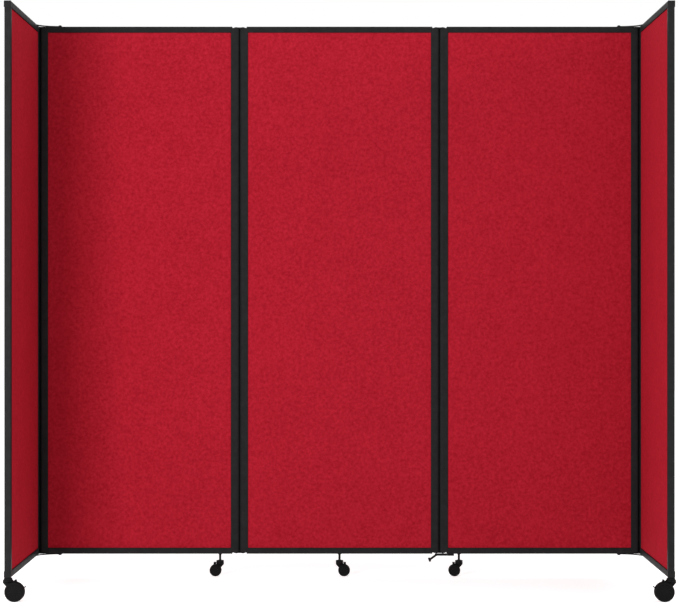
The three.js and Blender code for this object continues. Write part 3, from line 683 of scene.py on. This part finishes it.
# capAt is -1 or 1 for a cap at the low or the high end, 0 for none
def railBar(low, high, capAt, onTop):
    start = low + cap["thick"] if capAt < 0 else low
    stop = high - cap["thick"] if capAt > 0 else high
    pieces = [alongX(railRings(), start, stop)]
    if capAt:
        capLow = stop if capAt > 0 else low
        pieces.append(alongX(capRings(), capLow, capLow + cap["thick"], cap["edge"]))
    bar = together(*pieces)
    if onTop:
        bar.transform(Matrix.Diagonal((1, 1, -1, 1)))
        bar.flip_normals()
    return moved(bar, z=layout["top"] if onTop else layout["lift"])


# The bolt of each flat corner plate stands on a main board's rail, boltSetback in from the corner pin
stay = {
    "boltSetback": 0.0705,
    "width": 0.017,
    "thick": 0.003,
    "bend": 0.087,
    "tail": 0.035,
    "spacer": 0.0005,
    "spacerRadius": 0.007,
    "bolt": 0.003,
    "sunk": 0.001,
    "head": 0.006,
    "headTall": 0.003,
    "headEdge": 0.0003,
    "crown": 0.0022,
    "socket": 0.002,
    "socketDeep": 0.0016,
    "edge": 0.0005,
}
stayY = rail["half"] - stay["width"] / 2


def stayBolt():
    spacer, shank, washer, sunk = stay["spacer"], stay["bolt"], stay["spacerRadius"], stay["sunk"]
    head, edge, crown, socket = stay["head"], stay["headEdge"], stay["crown"], stay["socket"]
    under = spacer + stay["thick"] + 3 * fitGap
    top = under + stay["headTall"]
    floor = top - stay["socketDeep"]
    profile = [(0.0, -sunk), (washer, -sunk), (washer, spacer), (shank, spacer), (shank, under)]
    profile += [(head - edge, under), (head, under + edge)]
    profile += arc(head - crown, top - crown, crown, 10, 90, 5)
    return turned(profile + [(socket, top), (socket, floor), (0.0, floor)], 40)


# A stile with a round nose, cut short at both ends for the link's plates as far as the shoulder
def hingeStile(shoulder):
    low, high, short = layout["lift"], layout["top"], stile["short"]
    past = 0.003
    reach = stile["half"] + past
    block = [(-reach, -reach), (shoulder, -reach), (shoulder, reach), (-reach, reach)]
    ends = ((low - past, low + short), (high - short, high + past))
    return trimmed(extruded(hingeStileRings(), low, high), *[extruded([block], *end) for end in ends])


# The soft strip that shuts the gap between two noses
def sealStrip():
    half = stile["sealThick"] / 2
    left, right = -stile["sealTip"], -stile["half"] + stile["sealRoot"]
    low, high = layout["lift"] + stile["short"], layout["top"] - stile["short"]
    return extruded([softBox(left, -half, right, half, stile["sealCorner"], 3)], low, high)


def makeRails(name, place, side):
    railRun = span / 2 - stile["reach"] - fitGap
    freeEnd = span / 2 + stile["half"]
    low, high, capAt = -railRun, railRun, 0
    if "wing" in name:
        low, high, capAt = (-freeEnd, railRun, -1) if side < 0 else (-railRun, freeEnd, 1)
    x, y, turn = place
    for level, edgeHeight, flip in (("top", layout["top"], 0), ("bottom", layout["lift"], 180)):
        bar = moved(railBar(low, high, capAt, level == "top"), x, y, turnZ=turn)
        finishPiece(bar, camel(name, level, "rail"), f"{name}_{level}_rail", name, "frameBlack")
        if name in ("left", "right"):
            boltX = side * (span / 2 - stay["boltSetback"])
            bolt = moved(moved(stayBolt(), boltX, stayY, turnX=flip), x, y, edgeHeight)
            finishPiece(bolt, camel(name, level, "stayBolt"), None, name, "boltSteel")


def makeStiles(name, place, side):
    x, y, turn = place
    wing = "wing" in name
    hinged = [("hinge_stile", -side)] if wing else [("stile_left", -1), ("stile_right", 1)]
    for node, way in hinged:
        corner = wing or (name != "centre" and way == side)
        shoulder = stile["reach"] - felt["seat"] if corner else stile["shoulder"]
        spin = 0 if way < 0 else 180
        upright = moved(moved(hingeStile(shoulder), turnZ=spin), way * span / 2)
        finishPiece(moved(upright, x, y, turnZ=turn), camel(name, node), f"{name}_{node}", name, "frameBlack")
        if name == "centre" or (corner and not wing):
            strip = moved(moved(sealStrip(), turnZ=spin), way * span / 2)
            word = "sealLeft" if way < 0 else "sealRight"
            finishPiece(moved(strip, x, y, turnZ=turn), camel(name, word), None, name, "sealBlack")
    if wing:
        inset = rail["tall"] + fitGap
        upright = extruded(freeStileRings(), layout["lift"] + inset, layout["top"] - inset)
        upright = moved(moved(upright, turnZ=0 if side < 0 else 180), side * span / 2)
        upright = moved(upright, x, y, turnZ=turn)
        finishPiece(upright, camel(name, "freeStile"), f"{name}_free_stile", name, "frameBlack")


for name in boards:
    side = -1 if "left" in name else 1
    makeRails(name, boardPlace(name), side)
    makeStiles(name, boardPlace(name), side)
print("frames made")


# Hinge links: at each end a plate with two pins. The corner plates are thick and their pins lie flush.
hinge = {
    "pin": 0.003,
    "pinLong": 0.034,
    "plate": 0.011,
    "plateThick": 0.002,
    "cornerThick": 0.0047,
    "head": 0.005,
    "headTall": 0.002,
    "flushCrown": 0.00015,
    "crown": 0.0016,
    "tip": 0.0006,
    "sunk": 0.0002,
    "edge": 0.0004,
}


def hingePin(thick, head, headTall):
    long, pin, tip, crown = hinge["pinLong"], hinge["pin"], hinge["tip"], min(hinge["crown"], headTall)
    seat, top = thick - hinge["sunk"], thick + headTall
    profile = [(0.0, -long), (pin - tip, -long), (pin, -long + tip), (pin, seat), (head, seat)]
    if headTall > crown:
        profile.append((head, thick))
    profile += arc(head - crown, top - crown, crown, 0, 90, 5)
    return turned(profile + [(0.0, top)], 36)


# Drawn for the top, with the plate's underside at height zero
def linkEnd(corner):
    half, radius = layout["pinGap"] / 2, hinge["plate"]
    thick = hinge["cornerThick"] if corner else hinge["plateThick"]
    outline = arc(half, 0, radius, -90, 90, 20) + arc(-half, 0, radius, 90, 270, 20)
    head, tall = (hinge["pin"], hinge["flushCrown"]) if corner else (hinge["head"], hinge["headTall"])
    pins = [moved(hingePin(thick, head, tall), way * half) for way in (-1, 1)]
    return together(extruded([outline], 0, thick, hinge["edge"]), *pins)


inset = stile["short"] - fitGap
for side, word in ((-1, "left"), (1, "right")):
    for kind, x in (("hinge", side * layout["pitch"] / 2), ("corner", side * (cornerPin + wingPin) / 2)):
        link = f"{word}_{kind}_link"
        top = moved(linkEnd(kind == "corner"), x, layout["setBack"], layout["top"] - inset)
        finishPiece(top, camel(link, "top"), f"{link}_top", link, "steelBlack")
        bottom = moved(linkEnd(kind == "corner"), x, layout["setBack"], layout["lift"] + inset, turnX=180)
        finishPiece(bottom, camel(link, "bottom"), f"{link}_bottom", link, "steelBlack")
print("hinge links made")


def cornerStay(side):
    half, bend = stay["width"] / 2, stay["bend"]
    boltX = cornerPin - stay["boltSetback"]
    lead = wingPin + rail["half"] - (bend + stay["width"]) - boltX
    centreY = -(bend + half)
    outline = (
        arc(0, 0, half, -90, 90, 14)
        + arc(-lead, centreY, bend + stay["width"], 90, 180, 28)
        + arc(-lead - bend - half, centreY - stay["tail"], half, 180, 360, 18)
        + arc(-lead, centreY, bend, 180, 90, 28)
    )
    rings = [outline, circle(0, 0, stay["bolt"] + fitGap, 24)]
    if side > 0:
        rings = [[(-x, y) for x, y in reversed(ring)] for ring in rings]
    return extruded(rings, 0, stay["thick"], stay["edge"]), side * boltX


for side, word in ((-1, "left"), (1, "right")):
    for level in ("top", "bottom"):
        plate, boltX = cornerStay(side)
        lift = stay["spacer"] + fitGap
        z = layout["top"] + lift if level == "top" else layout["lift"] - lift - stay["thick"]
        finishPiece(moved(plate, boltX, layout["setBack"] + stayY, z), camel(word, level, "stay"),
                    f"{word}_corner_{level}_stay", f"{word}_{level}_stay", "steelBlack")
print("corner stays made")


# Foot lock under the right hinge, drawn with the hinge line at X zero
lock = {
    "pivotX": 0.0535,
    "tipX": 0.019,
    "pivotZ": 0.0884,
    "barThick": 0.007,
    "barWide": 0.010,
    "keeperTall": 0.0018,
    "keeperSetback": 0.003,
    "keeperLong": 0.048,
    "armLong": 0.032,
    "armThick": 0.008,
    "armSlope": 35,
    "armEdge": 0.0006,
    "padLong": 0.017,
    "padThick": 0.009,
    "padWide": 0.013,
    "padSlope": 24,
    "padRound": 0.0027,
    "padEdge": 0.0012,
    "cheek": 0.0015,
    "bracketLong": 0.025,
    "bracketOver": 0.007,
    "bracketEdge": 0.0003,
    "pin": 0.002,
    "pinProud": 0.0002,
    "edge": 0.0005,
}


def lockPedal():
    pivotX, pivotZ, tipX, wide = lock["pivotX"], lock["pivotZ"], -lock["tipX"], lock["barWide"]
    half, edge = lock["barThick"] / 2, lock["edge"]
    low, high = pivotZ - half, pivotZ + half
    top = high + lock["keeperTall"]
    left = tipX + lock["keeperSetback"]
    right = left + lock["keeperLong"]
    bar = arc(pivotX, pivotZ, half, -90, 90, 16) + [(right, high), (right - lock["keeperTall"], top)]
    bar += [(left, top), (tipX, high), (tipX, low)]
    bore = circle(pivotX, pivotZ, lock["pin"] + fitGap, 24)
    armHalf, slope = lock["armThick"] / 2, math.radians(lock["armSlope"])
    armX = tipX + armHalf
    armZ = high - armHalf * math.cos(slope) - half * math.sin(slope)
    arm = acrossY([softBox(-lock["armLong"], -armHalf, half, armHalf, armHalf / 2)], wide, lock["armEdge"])
    padX, padZ = armX - lock["armLong"] * math.cos(slope), armZ - lock["armLong"] * math.sin(slope)
    flat, long = lock["padThick"] / 2, lock["padLong"] / 2
    pad = acrossY([softBox(-flat, -long, flat, long, lock["padRound"], 6)], lock["padWide"], lock["padEdge"])
    return together(
        acrossY([bar, bore], wide, edge),
        moved(arm, armX, 0, armZ, turnY=-lock["armSlope"]),
        moved(pad, padX, 0, padZ, turnY=-lock["padSlope"]),
    )


# A channel open below, with the bar's pin through its two cheeks
def lockBracket():
    pivotX, pivotZ, half, radius = lock["pivotX"], lock["pivotZ"], lock["barThick"] / 2, lock["pin"]
    inner = lock["barWide"] / 2 + fitGap
    outer = inner + lock["cheek"]
    low, under, high = pivotZ - half, pivotZ + half + fitGap, layout["lift"] - fitGap
    channel = [(-outer, low), (-inner, low), (-inner, under), (inner, under)]
    channel += [(inner, low), (outer, low), (outer, high), (-outer, high)]
    right, end = pivotX + lock["bracketOver"], outer + lock["pinProud"]
    pin = turned([(0.0, -end), (radius, -end), (radius, end), (0.0, end)], 24)
    return together(
        alongX([channel], right - lock["bracketLong"], right, lock["bracketEdge"]),
        moved(pin, pivotX, 0, pivotZ, turnX=90),
    )


hingeLine = layout["pitch"] / 2
pedal = moved(lockPedal(), hingeLine, layout["setBack"])
finishPiece(pedal, "footLockPedal", "lock_pedal", "lock_pedal", "steelBlack")
bracket = moved(lockBracket(), hingeLine, layout["setBack"])
finishPiece(bracket, "footLockBracket", "lock_bracket", "right", "steelBlack")
print("foot lock made")


# The caster's own sizes, drawn with the stem at the origin and the wheels trailing to +X
casters = {
    "small": {
        "wheel": 0.0245, "wheelWide": 0.0115, "between": 0.009, "trail": 0.019, "tread": 0.004,
        "hub": 0.008, "rim": 0.0175, "recess": 0.0012, "axle": 0.003, "axleBoss": 0.009, "ribs": 9,
        "ribSunk": 0.0002, "gap": 0.0006, "reach": 0.0155, "corner": 0.0495, "crown": 0.016,
        "crownLow": 0.0515, "crownThick": 0.007, "chamfer": 0.0016, "boss": 0.007, "bossEnd": 0.0466,
        "kingpin": 0.0032, "kingpinEnd": 0.0488, "race": 0.016, "raceThick": 0.0058,
        "dome": 0.009, "domeTall": 0.0032, "stem": 0.00475, "nut": 0.0075, "nutTall": 0.0032,
        "stemEntry": 0.009, "pivotX": 0.0145, "pivotZ": 0.0464, "leverBoss": 0.0032, "ear": 0.0048,
        "leverPin": 0.0015, "cheek": 0.0014, "slot": 0.0184, "slotFrom": 30, "slotTo": 113,
    },
    "large": {
        "wheel": 0.038, "wheelWide": 0.0125, "between": 0.011, "trail": 0.025, "tread": 0.005,
        "hub": 0.012, "rim": 0.028, "recess": 0.0014, "axle": 0.004, "axleBoss": 0.013, "ribs": 12,
        "ribSunk": 0.0002, "gap": 0.0006, "reach": 0.0195, "corner": 0.073, "crown": 0.020,
        "crownLow": 0.0768, "crownThick": 0.0062, "chamfer": 0.0016, "boss": 0.008, "bossEnd": 0.0729,
        "kingpin": 0.004, "kingpinEnd": 0.0752, "race": 0.017, "raceThick": 0.0038,
        "dome": 0.009, "domeTall": 0.006, "stem": 0.006, "nut": 0, "nutTall": 0,
        "stemEntry": 0.009, "pivotX": 0.030, "pivotZ": 0.0742, "leverBoss": 0.0036, "ear": 0.0055,
        "leverPin": 0.0018, "cheek": 0.002, "slot": 0.0275, "slotFrom": 5, "slotTo": 93,
    },
}
# How much each sharp corner of a caster is taken off
casterEdges = {
    "race": 0.0006, "stem": 0.001, "nut": 0.0004, "web": 0.0005, "boss": 0.001, "groove": 0.0004,
    "hub": 0.0004, "lever": 0.0005, "neck": 0.0003, "smallToe": 0.001, "largeToe": 0.0008,
}
smallLever = {
    "slope": 40, "long": 0.011, "tall": 0.0046, "toeStart": 0.0168, "toeEnd": 0.027, "toeLow": 0.0502,
    "toeHigh": 0.0582, "toeRound": 0.0016, "toeWide": 0.024,
}
largeLever = {
    "inner": 0.0295, "outer": 0.0355, "from": 22, "to": 83, "toeAngle": 25, "toeInner": 0.0422,
    "toeOuter": 0.0466, "toeThick": 0.0036, "toeRound": 0.00144, "toeWide": 0.024, "heelX": 0.029,
    "heelTop": 0.084, "heelLong": 0.008, "heelThick": 0.0034, "heelRound": 0.0011, "heelWide": 0.018,
}
gripRib = {"pitch": 0.0016, "thick": 0.0007, "tall": 0.0006, "inset": 0.002, "start": 0.001}


def casterHeights(size):
    crownTop = size["crownLow"] + size["crownThick"]
    raceLow = crownTop + fitGap
    return crownTop, raceLow, raceLow + size["raceThick"] + size["domeTall"]


def casterStem(size):
    _, raceLow, headTop = casterHeights(size)
    top = layout["lift"] + size["stemEntry"]
    stem, race, dome, chamfer = size["stem"], size["race"], size["dome"], size["chamfer"]
    soft, end = casterEdges["race"], casterEdges["stem"]
    raceTop = raceLow + size["raceThick"]
    profile = [(0.0, size["kingpinEnd"]), (size["kingpin"], size["kingpinEnd"]), (size["kingpin"], raceLow)]
    profile += [(race - chamfer, raceLow), (race, raceLow + chamfer)]
    profile += arc(race - soft, raceTop - soft, soft, 0, 40, 3)
    run, rise, steps = race - soft - dome, headTop - raceTop - soft, 8
    for i in range(1, steps):
        a = math.radians(90 * i / steps)
        profile.append((dome + run * math.cos(a), raceTop + rise * math.sin(a)))
    profile += arc(dome - soft, headTop - soft, soft, 30, 90, 3)
    profile += [(stem, headTop), (stem, top - end), (stem - end, top), (0.0, top)]
    pieces = [turned(profile, 48)]
    if size["nutTall"]:
        high = layout["lift"] - fitGap
        corners = arc(0, 0, size["nut"], 0, 300, 5)
        pieces.append(extruded([corners], high - size["nutTall"], high, casterEdges["nut"]))
    return together(*pieces)


# Where on a circle, in degrees, the line from a point touches it
def touchAngle(x, z, centreX, centreZ, radius):
    away = math.hypot(x - centreX, z - centreZ)
    return math.degrees(math.atan2(z - centreZ, x - centreX) + math.acos(radius / away))


def axleBand(size, inner, outer, start, stop):
    x, z = size["trail"], size["wheel"]
    return [arc(x, z, outer, start, stop, 24) + arc(x, z, inner, stop, start, 24)]


def casterBody(size):
    crownTop, _, _ = casterHeights(size)
    x, z, ear, boss = size["trail"], size["wheel"], size["ear"], size["axleBoss"]
    pivotX, pivotZ, reach = size["pivotX"], size["pivotZ"], size["reach"]
    away = math.hypot(pivotX - x, pivotZ - z)
    out = math.degrees(math.atan2(pivotZ - z, pivotX - x) - math.acos((boss - ear) / away))
    into = touchAngle(-reach, size["corner"], x, z, boss)
    top = crownTop - size["crownThick"] / 2
    outline = [(-reach, top), (-reach, size["corner"])] + arc(x, z, boss, into, out + 360, 30)
    outline += arc(pivotX, pivotZ, ear, out, 90, 14) + [(reach, top)]
    width = size["between"] - 2 * size["gap"]
    bores = [circle(x, z, size["axle"] + fitGap, 32), circle(pivotX, pivotZ, size["leverPin"] + fitGap, 24)]
    slotBand = axleBand(size, size["slot"], pivotZ, size["slotFrom"], size["slotTo"])
    solid = acrossY([outline, *bores], width, casterEdges["web"])
    web = trimmed(solid, acrossY(slotBand, width - 2 * size["cheek"]))
    crown, low, chamfer, soft = size["crown"], size["crownLow"], size["chamfer"], casterEdges["boss"]
    bore, floor = size["kingpin"] + fitGap, size["kingpinEnd"] - fitGap
    profile = [(0.0, size["bossEnd"])] + arc(size["boss"] - soft, size["bossEnd"] + soft, soft, -90, 0, 4)
    profile += [(size["boss"], low), (crown - chamfer, low), (crown, low + chamfer)]
    profile.append((crown, crownTop - chamfer))
    profile += arc(crown - chamfer, crownTop - chamfer, chamfer, 15, 90, 5)
    profile += [(bore, crownTop), (bore, floor), (0.0, floor)]
    return together(web, turned(profile, 56))


# Both wheels and the axle that they are fast on: a groove marks off each tyre, a ring the axle's end
def casterWheels(size):
    tread, rim, hub, web, axle = size["tread"], size["rim"], size["hub"], size["recess"], size["axle"]
    edge, inner = size["wheel"] - tread, size["between"] / 2
    outer = inner + size["wheelWide"]
    groove, soft = casterEdges["groove"], web / 4
    half = [(axle, inner), (rim, inner), (rim + groove, inner + groove), (rim + 2 * groove, inner)]
    half += arc(edge, inner + tread, tread, -90, 0, 8) + arc(edge, outer - tread, tread, 0, 90, 8)
    half += [(rim + 3 * groove, outer), (rim + 2 * groove, outer - groove), (rim + groove, outer)]
    half += arc(rim + soft, outer - soft, soft, 90, 180, 3)
    half += [(rim - web, outer - web), (hub + web, outer - web)]
    half += arc(hub - soft, outer - soft, soft, 0, 90, 3)
    ring = axle + groove
    half += [(ring + 2 * groove, outer), (ring + groove, outer - groove)]
    half += [(ring, outer - groove / 4), (0.0, outer)]
    wheels = turned([(radius, -across) for radius, across in reversed(half)] + half, 72)
    return moved(wheels, size["trail"], 0, size["wheel"], turnX=90)


def wheelRibs(size):
    web, sunk = size["recess"], size["ribSunk"]
    inner, outer = size["hub"] - web / 2, size["rim"] + web / 2
    sizes = {"Count": size["ribs"], "Inner": inner, "Outer": outer, "Thick": web, "Tall": web}
    face = size["between"] / 2 + size["wheelWide"] - web / 2 - sunk
    rings = [moved(grown(spokes, sizes), z=way * face) for way in (-1, 1)]
    return moved(together(*rings), size["trail"], 0, size["wheel"], turnX=90)


def leverHub(size, width):
    radius, half, soft = size["leverBoss"], width / 2, casterEdges["hub"]
    hub = [(0.0, -half), (radius - soft, -half), (radius, -half + soft)]
    hub += [(radius, half - soft), (radius - soft, half), (0.0, half)]
    end, thin = size["between"] / 2 - size["gap"], size["leverPin"]
    pin = [(0.0, -end), (thin, -end), (thin, end), (0.0, end)]
    return moved(together(turned(hub, 32), turned(pin, 24)), size["pivotX"], 0, size["pivotZ"], turnX=90)


def smallBrakeLever(size, width):
    lever, half = smallLever, smallLever["tall"] / 2
    arm = acrossY([softBox(0, -half, lever["long"], half, half / 2)], width, casterEdges["lever"])
    toe = softBox(lever["toeStart"], lever["toeLow"], lever["toeEnd"], lever["toeHigh"], lever["toeRound"], 6)
    return together(
        leverHub(size, width),
        moved(arm, size["pivotX"], 0, size["pivotZ"], turnY=-lever["slope"]),
        acrossY([toe], lever["toeWide"], casterEdges["smallToe"]),
    )


# A band round the wheels with a toe at its low end, and a heel on a neck over the pivot
def largeBrakeLever(size, width):
    lever, edge, toeEdge = largeLever, casterEdges["lever"], casterEdges["largeToe"]
    half, boss, x, z = lever["toeThick"] / 2, size["leverBoss"], size["pivotX"], size["pivotZ"]
    low, top = lever["heelTop"] - lever["heelThick"], lever["heelTop"]
    left, right = lever["heelX"] - lever["heelLong"] / 2, lever["heelX"] + lever["heelLong"] / 2
    neck = [(x - boss, z), (x + boss, z), (right, low + half), (left, low + half)]
    tongue = softBox(lever["inner"] + half, -half, lever["toeOuter"], half, half / 2)
    toe = softBox(lever["toeInner"], -half, lever["toeOuter"], half, lever["toeRound"], 5)
    heel = softBox(left, low, right, top, lever["heelRound"], 5)
    band = axleBand(size, lever["inner"], lever["outer"], lever["from"], lever["to"])
    blade = together(acrossY([tongue], width, edge), acrossY([toe], lever["toeWide"], toeEdge))
    return together(
        leverHub(size, width),
        acrossY(band, width, edge),
        moved(blade, size["trail"], 0, size["wheel"], turnY=-lever["toeAngle"]),
        acrossY([neck], width, casterEdges["neck"]),
        acrossY([heel], lever["heelWide"], toeEdge),
    )


# Raised bars across a flat from left to right, so that a shoe doesn't slip off it
def gripBars(left, right, top, wide):
    pitch, tall, inset = gripRib["pitch"], gripRib["tall"], gripRib["inset"]
    count = max(2, round((right - left - 2 * inset) / pitch) + 1)
    run = wide - 2 * inset
    sizes = {"Count": count, "Pitch": pitch, "Thick": gripRib["thick"], "Wide": run, "Tall": tall}
    start = (left + right - (count - 1) * pitch) / 2
    return moved(grown(grip, sizes), start, 0, top - tall / 4)


def leverGrip(size, small):
    if small:
        lever = smallLever
        return gripBars(lever["toeStart"], lever["toeEnd"], lever["toeHigh"], lever["toeWide"])
    lever = largeLever
    start, half = lever["toeInner"] - gripRib["start"], lever["heelLong"] / 2
    toe = gripBars(start, lever["toeOuter"], lever["toeThick"] / 2, lever["toeWide"])
    return together(
        moved(toe, size["trail"], 0, size["wheel"], turnY=-lever["toeAngle"]),
        gripBars(lever["heelX"] - half, lever["heelX"] + half, lever["heelTop"], lever["heelWide"]),
    )


def makeCaster(name):
    small = "wing" not in name
    size = casters["small" if small else "large"]
    x, y, heading = boardPlace(name)
    if small:
        heading = 0 if name == "centre" else 180
        x = {"centre": 0, "left": -1, "right": 1}[name] * (layout["pitch"] / 2 + layout["smallFromHinge"])
    else:
        y = layout["setBack"] - (span + stile["half"] - layout["largeFromEnd"])
        heading = 0 if "left" in name else 180
    width = size["between"] - 2 * (size["gap"] + size["cheek"] + fitGap)
    makeLever = smallBrakeLever if small else largeBrakeLever
    parts = [
        (casterStem(size), "stem", name, "steelBlack"),
        (casterBody(size), "body", f"{name}_caster", "casterBlack"),
        (casterWheels(size), "wheels", f"{name}_wheels", "tyreBlack"),
        (wheelRibs(size), "wheelRibs", f"{name}_wheels", "hubBlack"),
        (makeLever(size, width), "lever", f"{name}_brake", "casterBlack"),
        (leverGrip(size, small), "leverGrip", f"{name}_brake", "casterBlack"),
    ]
    for mesh, word, body, material in parts:
        node = None if word in ("wheelRibs", "leverGrip") else f"{name}_caster_{word}"
        finishPiece(moved(mesh, x, y, turnZ=heading), camel(name, "caster", word), node, body, material)


for name in boards:
    makeCaster(name)
print("casters made")


# Stage and light. Cameras, mirrors and glass see the world as white; what it lights is set apart from that.
stage = {"floor": 40.0, "pale": 0.92, "floorRough": 0.9, "floorGloss": 0.1, "floorGlow": 0.6, "world": 0.60}
lamps = {
    "keyLamp": {"place": (-2.5, -5.0, 1.7), "aim": (0.0, 0.3, 1.1), "side": 1.4, "power": 159},
    "leftSideLamp": {"place": (-6.0, -2.2, 2.2), "aim": (1.2, 0.0, 1.1), "side": 2.4, "power": 96},
    "rightSideLamp": {"place": (6.0, -2.2, 2.8), "aim": (-1.2, 0.0, 1.3), "side": 2.4, "power": 116},
}


def whiteRays(nodes, links):
    rays = nodes.new("ShaderNodeLightPath")
    seen = rays.outputs["Is Camera Ray"]
    for kind in ("Is Glossy Ray", "Is Transmission Ray"):
        larger = nodes.new("ShaderNodeMath")
        larger.operation = "MAXIMUM"
        links.new(seen, larger.inputs[0])
        links.new(rays.outputs[kind], larger.inputs[1])
        seen = larger.outputs["Value"]
    return seen


# A glow for the rays that are to see the floor white
def addGlow(nodes, links, surface, strength):
    glow = nodes.new("ShaderNodeEmission")
    power = nodes.new("ShaderNodeMath")
    power.operation = "MULTIPLY"
    power.inputs[1].default_value = strength
    links.new(whiteRays(nodes, links), power.inputs[0])
    links.new(power.outputs["Value"], glow.inputs["Strength"])
    total = nodes.new("ShaderNodeAddShader")
    links.new(surface, total.inputs[0])
    links.new(glow.outputs["Emission"], total.inputs[1])
    links.new(total.outputs["Shader"], nodes["Material Output"].inputs["Surface"])


def makeStage():
    half = stage["floor"] / 2
    mesh = bpy.data.meshes.new("floor")
    corners = [(-half, -half, 0), (half, -half, 0), (half, half, 0), (-half, half, 0)]
    mesh.from_pydata(corners, [], [(0, 1, 2, 3)])
    floor = linked(mesh, "floor")
    material, nodes, links, shader = newMaterial("paleFloor")
    pale = stage["pale"]
    shader.inputs["Base Color"].default_value = (pale, pale, pale, 1)
    shader.inputs["Roughness"].default_value = stage["floorRough"]
    shader.inputs["Specular IOR Level"].default_value = stage["floorGloss"]
    addGlow(nodes, links, shader.outputs["BSDF"], stage["floorGlow"])
    mesh.materials.append(material)

    world = bpy.data.worlds.new("studio")
    world.use_nodes = True
    nodes, links = world.node_tree.nodes, world.node_tree.links
    light = nodes["Background"]
    light.inputs["Strength"].default_value = stage["world"]
    light.inputs["Color"].default_value = (1, 1, 1, 1)
    white = nodes.new("ShaderNodeBackground")
    white.inputs["Color"].default_value = (1, 1, 1, 1)
    pick = nodes.new("ShaderNodeMixShader")
    links.new(whiteRays(nodes, links), pick.inputs[0])
    links.new(light.outputs["Background"], pick.inputs[1])
    links.new(white.outputs["Background"], pick.inputs[2])
    links.new(pick.outputs["Shader"], nodes["World Output"].inputs["Surface"])
    bpy.context.scene.world = world


def softLamp(name, values):
    data = bpy.data.lights.new(name, "AREA")
    data.shape = "SQUARE"
    data.size = values["side"]
    data.energy = values["power"]
    lamp = linked(data, name)
    lamp.location = values["place"]
    toAim = Vector(values["aim"]) - Vector(values["place"])
    lamp.rotation_euler = toAim.to_track_quat("-Z", "Y").to_euler()


makeStage()
for name, values in lamps.items():
    softLamp(name, values)
bpy.context.scene.view_settings.view_transform = "Standard"
print("stage lit")
